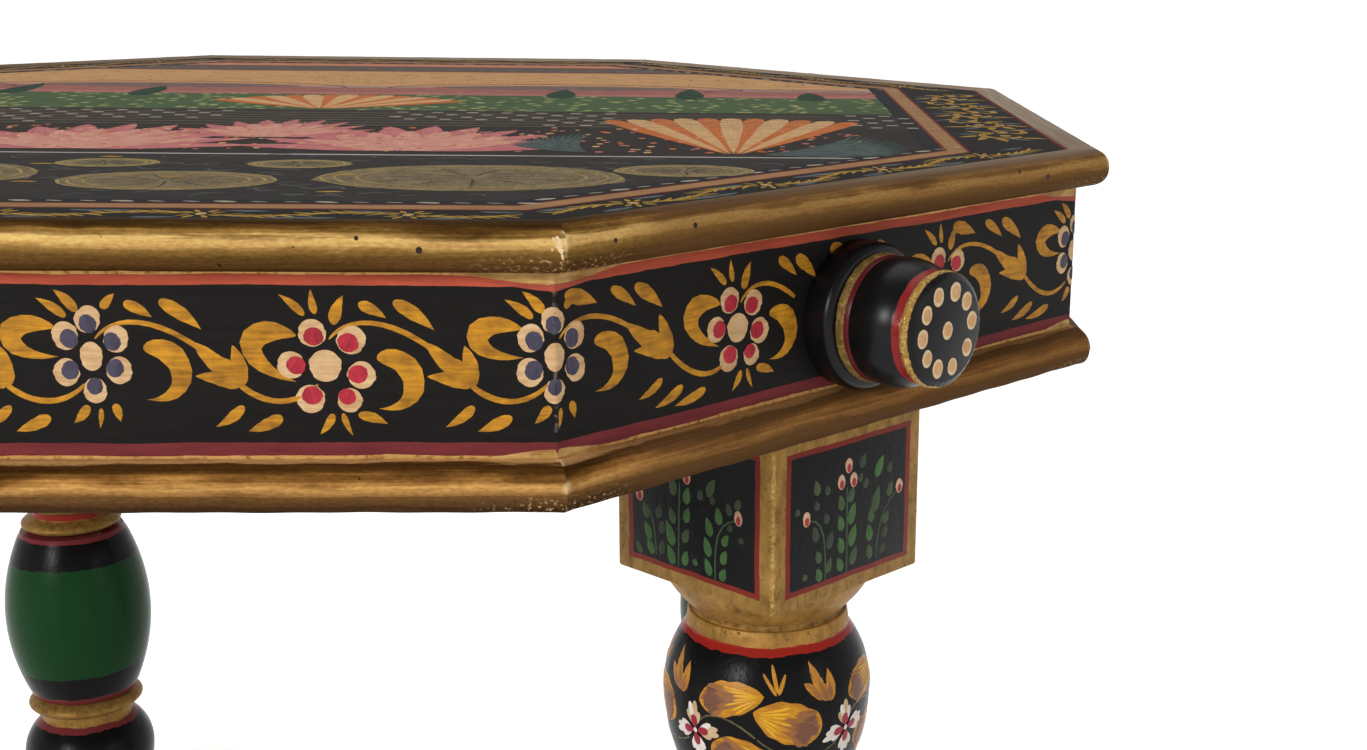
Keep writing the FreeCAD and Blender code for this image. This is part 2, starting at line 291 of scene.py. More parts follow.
def painted(marks, place, rows=13, across=5, layer=0, seed=1, wander=0.04, grained=False,
            thick=paint_film):
    """Shell of brush marks. Each follows a cubic curve and is as wide as the start share
    to one power times the end share to another. Paint stands up in the middle of a mark,
    and a mark of the first layer dips just under the ground at its edges. place turns
    flat metres and height into space. The uv follows the stroke, or the flat place where
    the grain of the wood shows through."""
    random = np.random.default_rng(seed)
    path = np.array([mark[0] for mark in marks], float)
    width, start, end = (np.array([mark[part] for mark in marks])[:, None] for part in (1, 2, 3))
    share = ((1 - np.cos(np.linspace(0, math.pi, rows))) / 2)[None, :]
    rest = 1 - share
    weights = np.stack([rest ** 3, 3 * rest ** 2 * share, 3 * rest * share ** 2, share ** 3], -1)
    slopes = np.stack([-3 * rest ** 2, 3 * rest ** 2 - 6 * rest * share,
                       6 * rest * share - 3 * share ** 2, 3 * share ** 2], -1)
    line = np.einsum("nrk,nkd->nrd", np.repeat(weights, len(path), 0), path)
    way = np.einsum("nrk,nkd->nrd", np.repeat(slopes, len(path), 0), path)
    way /= np.maximum(np.linalg.norm(way, axis=-1, keepdims=True), 1e-9)
    left = np.stack([-way[..., 1], way[..., 0]], -1)
    peak = (start / (start + end)) ** start * (end / (start + end)) ** end
    shape = share ** start * rest ** end / peak
    phase = random.uniform(0, math.tau, (len(path), 1))
    ragged = 1 + wander * np.sin(share * 9 + phase) + wander * np.sin(share * 23 + phase * 3)
    half = width * np.maximum(shape * ragged, 0.02)
    over = np.linspace(-1, 1, across)[None, None, :]
    flat = line[:, :, None, :] + left[:, :, None, :] * (half[:, :, None] * over)[..., None]
    crown = (1 - over ** 2) * np.minimum(shape[:, :, None] * 2, 1)
    height = thick * (layer * 1.3 - 0.3 + crown * random.uniform(0.9, 1.2, (len(path), 1, 1)))
    if grained:
        u, v = flat[..., 0], flat[..., 1]
    else:
        step = np.linalg.norm(np.diff(line, axis=1, prepend=line[:, :1]), axis=-1).cumsum(1)
        u = step[:, :, None] + random.uniform(0, 1, (len(path), 1, 1)) + over * 0
        v = half[:, :, None] * over + random.uniform(0, 1, (len(path), 1, 1))
    return shell(place(flat[..., 0], flat[..., 1], height), np.stack([u, v], -1))


def ray(x, y, turn, wide, tall=None):
    """Point at an angle from a middle, on a circle, or on an oval of two half sizes."""
    return x + wide * math.cos(turn), y + (wide if tall is None else tall) * math.sin(turn)


corner_snap = 0.4 * mm


def on_apron(x, z, height):
    """Unrolled apron: x runs round all the sides from the left end of the front one.
    Points close to a corner are drawn onto it, so that a mark folds just there."""
    corner = np.round(x / apron_side) * apron_side
    x = np.where(np.abs(x - corner) < corner_snap, corner, x)
    side = np.floor(x / apron_side)
    along = x - (side + 0.5) * apron_side
    return turned(np.stack([along, -apron_reach - height, apron_middle + z], -1), side)


def on_top(x, y, height):
    """Flat top of the boards."""
    return np.stack([x, y, top_level + height], -1)


# Materials. Node inputs are given by place or by name. Those of a map range are its value,
# the two ends that it comes from and the two that it goes to.

def add_node(tree, kind, inputs=(), output=0, **options):
    """Adds a node, sets its options, and fills its inputs with links, values or hex
    colours. Gives one of its outputs, or the node itself where it has none."""
    node = tree.nodes.new("ShaderNode" + kind)
    for name, value in options.items():
        setattr(node, name, value)
    for name, value in inputs.items() if isinstance(inputs, dict) else enumerate(inputs):
        if isinstance(value, bpy.types.NodeSocket):
            tree.links.new(value, node.inputs[name])
        else:
            node.inputs[name].default_value = linear(value)
    return node.outputs[output] if node.outputs else node


def blank(name):
    """New node material without nodes."""
    material = bpy.data.materials.new(name)
    material.use_nodes = True
    material.node_tree.nodes.clear()
    return material, material.node_tree


def close(material, skin, relief, inputs):
    """Ends a material with its shader and output. relief is a height share and the real
    depth that it stands for."""
    tree = material.node_tree
    if relief:
        inputs["Normal"] = add_node(tree, "Bump", {"Height": relief[0], "Distance": relief[1]})
    surface = add_node(tree, "BsdfPrincipled", {"Base Color": skin, **inputs})
    add_node(tree, "OutputMaterial", {"Surface": surface})
    return material


def shifted(tree, value, noise, swing):
    """A length moved to and fro by a noise, by half of swing at most."""
    centred = add_node(tree, "Math", [noise, 0.5], operation="SUBTRACT")
    return add_node(tree, "Math", [centred, swing, value], operation="MULTIPLY_ADD")


def wobbled(tree, value, vector, patch, swing):
    """A length shifted by a slow noise, so that a painted edge wavers."""
    noise = add_node(tree, "TexNoise", {"Vector": vector, "Scale": 1 / patch, "Detail": 2.0,
                                        "Roughness": 0.6})
    return shifted(tree, value, noise, swing)


def banded(tree, value, bands, low, high, blend="CONSTANT"):
    """Colours by a length, and which share of them is gilt. Bands go from the lowest up
    and are (start, colour), with a gilt share where there is one."""
    span = add_node(tree, "MapRange", [value, low, high])
    found = []
    for pick in (lambda tone, gilt=0.0: linear(tone), lambda tone, gilt=0.0: (gilt, gilt, gilt, 1.0)):
        ramp = add_node(tree, "ValToRGB", [span])
        ramp.node.color_ramp.interpolation = blend
        stops = ramp.node.color_ramp.elements
        while len(stops) > 1:
            stops.remove(stops[-1])
        stops[0].position = 0.0
        stops[0].color = pick(*bands[0][1:])
        for start, *band in bands[1:]:
            stops.new((start - low) / (high - low)).color = pick(*band)
        found.append(ramp)
    return found


def mottled(tree, vector, patch, low, high, detail=4.0, stretch=(1, 1, 1)):
    """Noise between two shares, in patches of about the given size."""
    mapped = add_node(tree, "Mapping", {"Vector": vector, "Scale": stretch})
    noise = add_node(tree, "TexNoise", {"Vector": mapped, "Scale": 1 / patch, "Detail": detail,
                                        "Roughness": 0.6})
    return add_node(tree, "MapRange", [noise, low, high])


def coated(tree, skin, *coats):
    """Colour under coats, each laid over the ones before it by its share. A coat is
    (share, colour), with a blend where it isn't simply laid over."""
    for share, tone, *blend in coats:
        skin = add_node(tree, "Mix", {0: share, 6: skin, 7: tone}, 2, data_type="RGBA",
                        blend_type=blend[0] if blend else "MIX")
    return skin


def shaded(tree, skin, *noises):
    """Colour made paler and darker by each noise, given as (noise, share)."""
    for noise, share in noises:
        skin = coated(tree, skin, (share, coated(tree, "#000000", (noise, "#ffffff")), "OVERLAY"))
    return skin


def gilt_moulding(name, tones, flank):
    """Bronze powder paint over a brown ground on carved wood, with a painted highlight along
    the crest and painted shade over the upper part and the underside. tones are (distance,
    colour) round the outline and run into each other. Streaks lie along the wood, the flat
    upper part is painted paler towards the back and the right as a painted reflection, and
    the sides other than front and back are darkened as painted shade. Near the mitres the
    crest carries a pale painted highlight, and the flank, from that distance round, is
    chipped. Every side has its own metre of u, with its middle on the whole number."""
    half = apron_side / 2
    material, tree = blank("bronze_gold_paint_" + name)
    coordinates = add_node(tree, "TexCoord").node.outputs
    uv = coordinates["UV"]
    along, across, _ = add_node(tree, "SeparateXYZ", [uv]).node.outputs
    x, y, _ = add_node(tree, "SeparateXYZ", [coordinates["Object"]]).node.outputs
    streak = mottled(tree, uv, 1.6 * mm, 0.25, 0.75, 5.0, (0.03, 1, 1))
    cloud = mottled(tree, uv, 12 * mm, 0.3, 0.7, 4.0, (0.3, 1, 1))
    grain = mottled(tree, uv, 0.8 * mm, 0.3, 0.7, 3.0, (0.4, 1, 1))
    pit = mottled(tree, uv, 2.6 * mm, 0.71, 0.76, 3.0)
    # Painted reflection: the flat upper part turns greyish pale towards the back and the right.
    away = add_node(tree, "Math", [x, y], operation="ADD")
    away = add_node(tree, "MapRange", [away, -140 * mm, 300 * mm])
    upper = add_node(tree, "MapRange", [across, 13 * mm, 8 * mm])
    back_reflection = add_node(tree, "Math", [away, upper], operation="MULTIPLY")
    for noise, swing in ((cloud, 3.0 * mm), (streak, 2.4 * mm)):
        across = shifted(tree, across, noise, swing)
    bands = [(place * mm, tone) for place, tone in tones]
    skin = banded(tree, across, bands, -5 * mm, 55 * mm, "EASE")[0]
    skin = shaded(tree, skin, (streak, 0.4), (cloud, 0.3), (grain, 0.25))
    # Painted shade: the sides other than front and back are darkened and browned.
    depth = add_node(tree, "Math", [y], operation="ABSOLUTE")
    dull = add_node(tree, "MapRange", [depth, base_reach - 9 * mm, base_reach - 26 * mm])
    even = add_node(tree, "Math", [dull, 0.42], operation="MULTIPLY")
    reflection_tone = coated(tree, "#7d6b58", (streak, "#a39280"))
    skin = coated(tree, skin, (pit, "#2a1808"), (dull, "#dad0c2", "MULTIPLY"), (even, "#7a5838"),
                  (back_reflection, reflection_tone))
    # Painted highlight: the bright crest turns pale close to each mitre; chips lower on the flank are wear.
    far = add_node(tree, "Math", [along, 0.5, -0.5], operation="WRAP")
    far = add_node(tree, "Math", [far], operation="ABSOLUTE")
    far = wobbled(tree, far, uv, 3 * mm, 3 * mm)
    near = add_node(tree, "MapRange", [far, half - 1.2 * mm, half + 1.2 * mm])
    lit = add_node(tree, "SeparateColor", [skin])
    lit = add_node(tree, "MapRange", [lit, 0.16, 0.4])
    worn = add_node(tree, "Math", [near, lit], operation="MULTIPLY")
    close_by = add_node(tree, "MapRange", [far, half - 26 * mm, half - 6 * mm])
    low = add_node(tree, "MapRange", [across, flank * mm, (flank + 1.5) * mm])
    chip = mottled(tree, uv, 1.3 * mm, 0.56, 0.66, 2.0)
    for share in (close_by, low):
        chip = add_node(tree, "Math", [chip, share], operation="MULTIPLY")
    skin = coated(tree, skin, (worn, "#f2d9ae"), (chip, "#b8976a"))
    height = add_node(tree, "Math", [streak, pit], operation="SUBTRACT")
    return close(material, skin, (height, 0.25 * mm),
                 {"Metallic": 0.05, "Roughness": 0.42, "Specular IOR Level": 0.002})


def wall_reach(tree, place):
    """Parts of a place, its distances from the middle aside, ahead and aslant, and its
    reach square to the octagon's nearest side."""
    parts = add_node(tree, "SeparateXYZ", [place]).node.outputs
    wide, deep = (add_node(tree, "Math", [parts[way]], operation="ABSOLUTE") for way in (0, 1))
    both = add_node(tree, "Math", [wide, deep], operation="ADD")
    slant = add_node(tree, "Math", [both, math.sqrt(0.5)], operation="MULTIPLY")
    straight = add_node(tree, "Math", [wide, deep], operation="MAXIMUM")
    reach = add_node(tree, "Math", [straight, slant], operation="MAXIMUM")
    return parts, wide, deep, slant, reach


def apron_paint():
    """Satin lacquered black paint with hand-drawn red and gold lines on the outer face,
    flecked pale grey along the corners as worn paint and as a painted highlight of the
    rounded edge, and plain brown wood on the other faces."""
    paints = settings("colours")
    half = apron_side / 2
    gilt = "#c99c5c"
    material, tree = blank("lacquered_apron_paint")
    place = add_node(tree, "TexCoord", output="Object")
    parts, _, _, _, reach = wall_reach(tree, place)
    level = wobbled(tree, parts[2], place, 34 * mm, 1.6 * mm)
    fine = wobbled(tree, level, place, 5 * mm, 0.5 * mm)
    bands = [
        (apron_low - mm, gilt, 1.0),
        (apron_low + 0.8 * mm, paints.crimson),
        (apron_low + 4.5 * mm, paints.ground),
        (board_level - 4.1 * mm, paints.brick),
        (board_level - 1.2 * mm, gilt, 1.0),
        (board_level - 0.3 * mm, "#2e1c0c"),
    ]
    base, gold = banded(tree, fine, bands, apron_low - 5 * mm, board_level + 5 * mm)
    streak = mottled(tree, place, 2.5 * mm, 0.3, 0.75, 4.0, (0.12, 0.12, 1))
    fleck = mottled(tree, place, 2.2 * mm, 0.5, 0.72, 4.0)
    shade = shaded(tree, base, (streak, 0.22))
    shade = coated(tree, shade, (gold, coated(tree, shade, (fleck, "#7a5223"))))
    # Pale grey flecks along each corner: worn paint and a painted highlight of the rounded edge.
    squares = [add_node(tree, "Math", [part, part], operation="MULTIPLY")
               for part in (parts[0], parts[1], reach)]
    along = add_node(tree, "Math", squares[:2], operation="ADD")
    along = add_node(tree, "Math", [along, squares[2]], operation="SUBTRACT")
    along = add_node(tree, "Math", [along], operation="SQRT")
    along = wobbled(tree, along, place, 1.5 * mm, 1.6 * mm)
    edge = add_node(tree, "MapRange", [along, half - 0.9 * mm, half - 0.1 * mm])
    corner_wear_and_glint = add_node(tree, "Math", [edge, fleck], operation="MULTIPLY")
    shade = coated(tree, shade, (corner_wear_and_glint, "#8d7f74"))
    outer = add_node(tree, "Math", [reach, apron_reach - 0.6 * mm], operation="GREATER_THAN")
    wood = coated(tree, "#4a2f1a", (streak, "#6d4827"))
    metal = add_node(tree, "Math", [gold, outer], operation="MULTIPLY")
    metal = add_node(tree, "Math", [metal, 0.4], operation="MULTIPLY")
    return close(material, coated(tree, wood, (outer, shade)), (streak, 0.06 * mm),
                 {"Metallic": metal, "Roughness": 0.5, "Specular IOR Level": 0.07})


def brush_paint(name, pale, deep, roughness=0.5, grained=False, sheen=0.2):
    """Opaque tempera laid with a loaded brush: streaks of paler and deeper paint along
    the stroke, or along the grain of the wood below, satin under the lacquer."""
    material, tree = blank(name)
    uv = add_node(tree, "TexCoord", output="UV")
    streak = mottled(tree, uv, 1.2 * mm if grained else 0.9 * mm, 0.32, 0.7, 4.0, (0.1, 1, 1))
    patch = mottled(tree, uv, 7 * mm, 0.3, 0.7, 3.0)
    both = add_node(tree, "Math", [streak, patch], operation="ADD")
    share = add_node(tree, "MapRange", [both, 0.35, 1.6])
    return close(material, coated(tree, pale, (share, deep)), (streak, 0.04 * mm),
                 {"Roughness": roughness, "Specular IOR Level": sheen})


def bare_wood():
    """Sawn and oiled hardwood: brown, dull, with long grain."""
    material, tree = blank("sawn_oiled_wood")
    place = add_node(tree, "TexCoord", output="Object")
    grain = mottled(tree, place, 3 * mm, 0.3, 0.7, 5.0, (0.08, 1, 1))
    skin = coated(tree, "#5a3b21", (grain, "#8a6138"))
    return close(material, skin, (grain, 0.2 * mm), {"Roughness": 0.7})


def nail_iron():
    """Forged iron, dark and rough, with a little rust."""
    material, tree = blank("forged_iron")
    place = add_node(tree, "TexCoord", output="Object")
    rust = mottled(tree, place, 2 * mm, 0.4, 0.7)
    skin = coated(tree, "#3b3937", (rust, "#5a4030"))
    return close(material, skin, None, {"Metallic": 0.8, "Roughness": 0.6})


def leg_levels():
    """Level of each stop of a leg, from the block down."""
    leg = settings("legs")
    names = ("block_height", "shoulder", "collar", "bulb_upper", "bulb_lower", "rings", "barrel", "ankle")
    level = base_low
    levels = {}
    for name in names:
        level -= getattr(leg, name)
        levels[name] = level
    return levels


def leg_paint():
    """Paint of a turned leg: black block panels in gilt borders, gilt shoulder and collar,
    glossy black bulb, gilt and red rings, deep green barrel and black bun foot. A thin
    broken painted highlight runs along the edges of the block."""
    paints = settings("colours")
    leg = settings("legs")
    level = leg_levels()
    gilt = "#86642f"
    black = "#131213"
    turned_gilt = "#9d7236"
    material, tree = blank("lacquered_leg_paint")
    coordinates = add_node(tree, "TexCoord").node.outputs
    place = coordinates["Object"]
    upward = add_node(tree, "SeparateXYZ", [place], 2)
    height = wobbled(tree, upward, place, 14 * mm, 2.2 * mm)
    height = wobbled(tree, height, place, 3.5 * mm, 0.9 * mm)
    between = level["rings"] + leg.rings / 2
    bands = [
        (-mm, black),
        (mm, gilt, 1.0),
        (leg.sole, paints.crimson),
        (leg.sole + 3 * mm, black),
        (level["ankle"] - 4 * mm, paints.crimson),
        (level["ankle"] - mm, gilt, 1.0),
        (level["barrel"], paints.crimson),
        (level["barrel"] + 3 * mm, black),
        (level["barrel"] + 16 * mm, "#17401f"),
        (level["rings"] - 16 * mm, black),
        (level["rings"] - 3 * mm, paints.crimson),
        (level["rings"], gilt, 1.0),
        (between - 2 * mm, "#8e2a22"),
        (between + 2 * mm, gilt, 1.0),
        (level["bulb_lower"], paints.crimson),
        (level["bulb_lower"] + 3 * mm, black),
        (level["collar"] - 3.0 * mm, "#96261d"),
        (level["collar"] - 0.3 * mm, turned_gilt, 1.0),
        (level["shoulder"] - 1.7 * mm, "#4a2f12", 1.0),
        (level["shoulder"] - 1.0 * mm, turned_gilt, 1.0),
    ]
    turned_base, turned_gold = banded(tree, height, bands, -5 * mm, base_low + 5 * mm)

    around = add_node(tree, "SeparateXYZ", [coordinates["UV"]])
    aside = add_node(tree, "Math", [around, leg.block_width / 2], operation="PINGPONG")
    over = add_node(tree, "Math", [upward, level["block_height"]], operation="SUBTRACT")
    under = add_node(tree, "Math", [base_low, upward], operation="SUBTRACT")
    lower = add_node(tree, "Math", [over, under], operation="MINIMUM")
    lower = add_node(tree, "Math", [lower, 1.2], operation="MULTIPLY")
    near = add_node(tree, "Math", [lower, aside], operation="MINIMUM")
    edge = wobbled(tree, near, place, 12 * mm, 1.2 * mm)
    panel = [(-mm, gilt, 1.0), (5.3 * mm, "#7d2a20"), (7.4 * mm, black)]
    block_base, block_gold = banded(tree, edge, panel, -2 * mm, 40 * mm)
    on_block = add_node(tree, "Math", [upward, level["block_height"] - 0.1 * mm],
                        operation="GREATER_THAN")
    base = coated(tree, turned_base, (on_block, block_base))
    gold = coated(tree, turned_gold, (on_block, block_gold))

    streak = mottled(tree, place, 3 * mm, 0.3, 0.7, 4.0, (1, 1, 0.5))
    patch = mottled(tree, place, 9 * mm, 0.4, 0.72, 5.0)
    grit = mottled(tree, place, 1.2 * mm, 0.6, 0.75, 2.0)
    brown = coated(tree, base, (patch, "#644620"))
    bright = coated(tree, brown, (streak, coated(tree, brown, (0.5, "#bf9652"))))
    # Painted highlight: a thin broken pale line along the edges of the block.
    aside = wobbled(tree, aside, place, 2 * mm, 2.2 * mm)
    arris = add_node(tree, "MapRange", [aside, 0.9 * mm, 0.1 * mm])
    for share in (on_block, mottled(tree, place, 1.6 * mm, 0.42, 0.6, 3.0)):
        arris = add_node(tree, "Math", [arris, share], operation="MULTIPLY")
    worn = coated(tree, bright, (grit, "#54391a"), (arris, "#bfa05c"))
    metal = add_node(tree, "Math", [gold, 0.25], operation="MULTIPLY")
    rough = add_node(tree, "MapRange", [gold, 0, 1, 0.26, 0.42])
    height = add_node(tree, "Math", [streak, grit], operation="SUBTRACT")
    height = add_node(tree, "Math", [height, rough], operation="MULTIPLY")
    return close(material, coated(tree, base, (gold, worn)), (height, 0.2 * mm),
                 {"Metallic": metal, "Roughness": rough, "Specular IOR Level": 0.07})


gilt_start = 2.6 * mm


def boss_paint():
    """Paint of a boss: satin black flange, worn gilt groove, crimson line, gloss black
    barrel, crimson ring, thick rough gilt ring and a black rim."""
    boss = settings("bosses")
    black = "#0f0e10"
    material, tree = blank("lacquered_boss_paint")
    coordinates = add_node(tree, "TexCoord").node.outputs
    place = coordinates["Object"]
    out = add_node(tree, "SeparateXYZ", [coordinates["UV"]], 1)
    out = wobbled(tree, out, place, 7 * mm, 1.1 * mm)
    bands = [
        (-mm, black),
        (boss.flange + 0.1 * mm, "#6b5329", 0.35),
        (boss.groove - 1.7 * mm, "#56141a"),
        (boss.groove, black),
        (boss.barrel - 0.2 * mm, "#861f20"),
        (boss.barrel + gilt_start, "#b98e45", 1.0),
        (boss.ring, black),
    ]
    base, gold = banded(tree, out, bands, -5 * mm, 45 * mm)
    patch = mottled(tree, place, 3.5 * mm, 0.4, 0.66, 4.0)
    grit = mottled(tree, place, 0.9 * mm, 0.35, 0.65, 3.0)
    worn = coated(tree, base, (patch, coated(tree, "#6e4c1e", (grit, "#f2cd80"))))
    metal = add_node(tree, "Math", [gold, 0.5], operation="MULTIPLY")
    rough = add_node(tree, "MapRange", [gold, 0, 1, 0.3, 0.38])
    height = add_node(tree, "Math", [grit, gold], operation="MULTIPLY")
    return close(material, coated(tree, base, (gold, worn)), (height, 0.35 * mm),
                 {"Metallic": metal, "Roughness": rough, "Specular IOR Level": 0.16})


def top_paint():
    """Painted and lacquered boards: black border, tan frame with red lines, and inside it
    a garden in flat washes, from the pool in front to the evening sky behind."""
    top = settings("top")
    line = 1.3 * mm
    red_line = "#6d2a24"
    hedge_green = "#46583a"
    material, tree = blank("lacquered_top_paint")
    place = add_node(tree, "TexCoord", output="Object")
    parts, wide, deep, slant, _ = wall_reach(tree, place)
    broad = add_node(tree, "Math", [wide, top.frame_out / top.frame_side], operation="MULTIPLY")
    first = add_node(tree, "Math", [broad, deep], operation="MAXIMUM")
    inset = add_node(tree, "Math", [first, slant], operation="MAXIMUM")
    inset = wobbled(tree, inset, place, 6 * mm, 0.5 * mm)
    frame_in = top.frame_out - top.frame_width
    garden_out = frame_in - top.band_width
    rings = [
        (0.0, "#000000", 1.0),
        (garden_out, "#b9ac97"),
        (garden_out + 0.7 * mm, "#262427"),
        (frame_in - line, red_line),
        (frame_in, "#96704c"),
        (top.frame_out - line, red_line),
        (top.frame_out, "#231f1d"),
    ]
    border, inside = banded(tree, inset, rings, 0.0, 300 * mm)

    far = wobbled(tree, parts[1], place, 60 * mm, 9 * mm)
    straight = wobbled(tree, parts[1], place, 20 * mm, 0.8 * mm)
    paved = [
        (-0.3, "#322f2d"),
        (-top.terrace, "#a9a29a"),
        (-top.terrace + line, "#2f2a27"),
        (-58 * mm, "#8f8a84"),
        (-57 * mm, "#352f2b"),
        (-2 * mm, "#a9a29a"),
        (0.0, hedge_green, 1.0),
        (197 * mm, "#a5583f"),
        (200 * mm, "#5d504b"),
        (231 * mm, "#3a2f30"),
        (233 * mm, "#b5765a"),
    ]
    near_zone, outdoors = banded(tree, straight, paved, -0.3, 0.3)
    sky = [
        (0.0, hedge_green, 1.0),
        (top.hedge_low, "#a2695f"),
        (top.hedge_low + 26 * mm, "#9a7f78"),
        (top.hedge_low + 42 * mm, "#b98d5f"),
    ]
    back_zone, hedge = banded(tree, far, sky, 0.0, 0.3)
    fleck = add_node(tree, "TexVoronoi", {"Vector": place, "Scale": 1 / (7 * mm), "Randomness": 1.0})
    light = add_node(tree, "MapRange", [fleck, 0.36, 0.2])
    speck = add_node(tree, "Math", [light, hedge], operation="MULTIPLY")
    leafy = coated(tree, back_zone, (speck, "#97985f"))
    garden = coated(tree, near_zone, (outdoors, leafy))

    streak = mottled(tree, place, 3 * mm, 0.3, 0.7, 5.0, (0.25, 1, 1))
    shade = shaded(tree, coated(tree, border, (inside, garden)), (streak, 0.2))
    rim = wobbled(tree, wide, place, 8 * mm, 0.8 * mm)
    on_rim = add_node(tree, "Math", [rim, board_reach - 1.5 * mm], operation="GREATER_THAN")
    lined = coated(tree, shade, (on_rim, red_line))
    lacquered = add_node(tree, "Math", [parts[2], top_level - 0.2 * mm], operation="GREATER_THAN")
    wood = coated(tree, "#4f341d", (streak, "#7d5733"))
    return close(material, coated(tree, wood, (lacquered, lined)), (streak, 0.04 * mm),
                 {"Roughness": 0.5, "Specular IOR Level": 0.004})


# Mouldings

def nose_outline():
    """Closed outline of the moulding round the boards, as (reach, level). Its nose is a
    superellipse, a half round that is a little flattened, and it stands up a little
    round the boards."""
    crown = 1.1 * mm
    round_share = 0.64
    power = 0.84
    depth = (nose_reach - board_reach) * round_share
    half = (top_level + crown - board_level) / 2
    turn = np.linspace(-math.pi / 2, math.pi / 2, 33)
    reach = nose_reach - depth + depth * np.abs(np.cos(turn)) ** power
    level = board_level + half + half * np.sign(np.sin(turn)) * np.abs(np.sin(turn)) ** power
    inner = np.array([[board_reach, board_level], [board_reach, top_level]])
    return np.concatenate([inner[:1], np.stack([reach, level], -1), inner[1:]])


def base_outline():
    """Closed outline of the moulding under the apron: a small step, a quarter round
    out to an arris and a quick roll back under it."""
    step_share = 0.12
    nose_share = 0.6
    roll_share = 0.42
    lip_share = 0.03
    out = base_reach - apron_reach
    step = out * step_share
    nose = apron_low - (apron_low - base_low) * nose_share
    turn = np.linspace(0, math.pi / 2, 15)
    upper = np.stack([apron_reach + step + (out - step) * np.sin(turn),
                      nose + (apron_low - nose) * np.cos(turn)], -1)
    turn = np.linspace(0, math.pi / 2, 11)
    lower = np.stack([base_reach - out * roll_share * (1 - np.cos(turn)) - out * lip_share,
                      nose - (nose - base_low) * np.sin(turn)], -1)
    inner = np.array([[apron_inner, base_low], [apron_inner, apron_low]])
    return np.concatenate([inner[:1], lower[::-1], upper[::-1], inner[1:]])


def moulding(outline, seed):
    """Mitred length of the front side: the outline is carried along it, and every point
    reaches as far as its own mitre. The wood is hollowed a little here and there by slow
    waves and by round dents, which fade out towards the mitres."""
    random = np.random.default_rng(seed)
    share = np.linspace(-1, 1, 181)
    reach = outline[::-1, 0][:, None]
    level = outline[::-1, 1][:, None]
    middle = np.array([outline[:, 0].mean(), outline[:, 1].mean()])
    along = share[None, :] * reach * side_slope
    wave = 0.5 + 0.25 * np.sin(share * 17 + seed) + 0.25 * np.sin(share * 41 + seed * 2)
    hollow = 0.22 * mm * wave[None, :] * (1 + 0.5 * np.sin(level / mm * 0.9 + seed))
    for _ in range(7):
        at_x = random.uniform(-0.9, 0.9) * apron_side / 2
        at_z = random.uniform(outline[:, 1].min(), outline[:, 1].max())
        size = random.uniform(0.9, 2.2) * mm
        gap = ((along - at_x) ** 2 + (level - at_z) ** 2) / size ** 2
        hollow = hollow + random.uniform(0.2, 0.5) * mm * np.exp(-gap)
    fade = smooth(1.0, 0.97, np.abs(share))[None, :]
    outer = smooth(outline[:, 0].min() + 2 * mm, outline[:, 0].max() - mm, reach)
    hollow = hollow * fade * outer
    away = np.stack([reach - middle[0], level - middle[1]], -1)
    away = away / np.linalg.norm(away, axis=-1, keepdims=True)
    points = np.stack([along + reach * 0, -(reach - away[..., 0] * hollow),
                       level - away[..., 1] * hollow], -1)
    girth = np.linalg.norm(np.diff(outline[::-1], axis=0, prepend=outline[-1:]), axis=-1).cumsum()
    u = share[None, :] * apron_side / 2 + seed + girth[:, None] * 0
    v = girth[:, None] + share[None, :] * 0
    return points, np.stack([u, v], -1)


def moulding_shell(outline, side, seed):
    """Closed moulding of one side, with its two mitre faces."""
    points, uv = moulding(outline, seed)
    closed = np.transpose(turned(points, side), (1, 0, 2))[::-1]
    closed_uv = np.transpose(uv, (1, 0, 2))[::-1]
    closed_uv = np.concatenate([closed_uv, closed_uv[:, :1]], axis=1)
    return shell(closed, closed_uv, wrap=True, caps=True)


# Legs and bosses

def swelling(wide, wide_level, narrow, narrow_level, count=14):
    """Arc of a turning between two (radius, level) ends, upright at its wide end."""
    run = abs(narrow_level - wide_level)
    inset = wide - narrow
    radius = (inset ** 2 + run ** 2) / (inset * 2)
    turn = np.linspace(0, math.asin(run / radius), count)
    way = math.copysign(1, narrow_level - wide_level)
    return np.stack([wide - radius * (1 - np.cos(turn)), wide_level + way * radius * np.sin(turn)], -1)


def ring_round(core, crest, top, bottom, count=9):
    """Half-round ring of a turning: the radius follows half a sine wave."""
    share = np.linspace(0, 1, count)
    return np.stack([core + (crest - core) * np.sin(share * math.pi) ** 0.7,
                     top + (bottom - top) * share], -1)


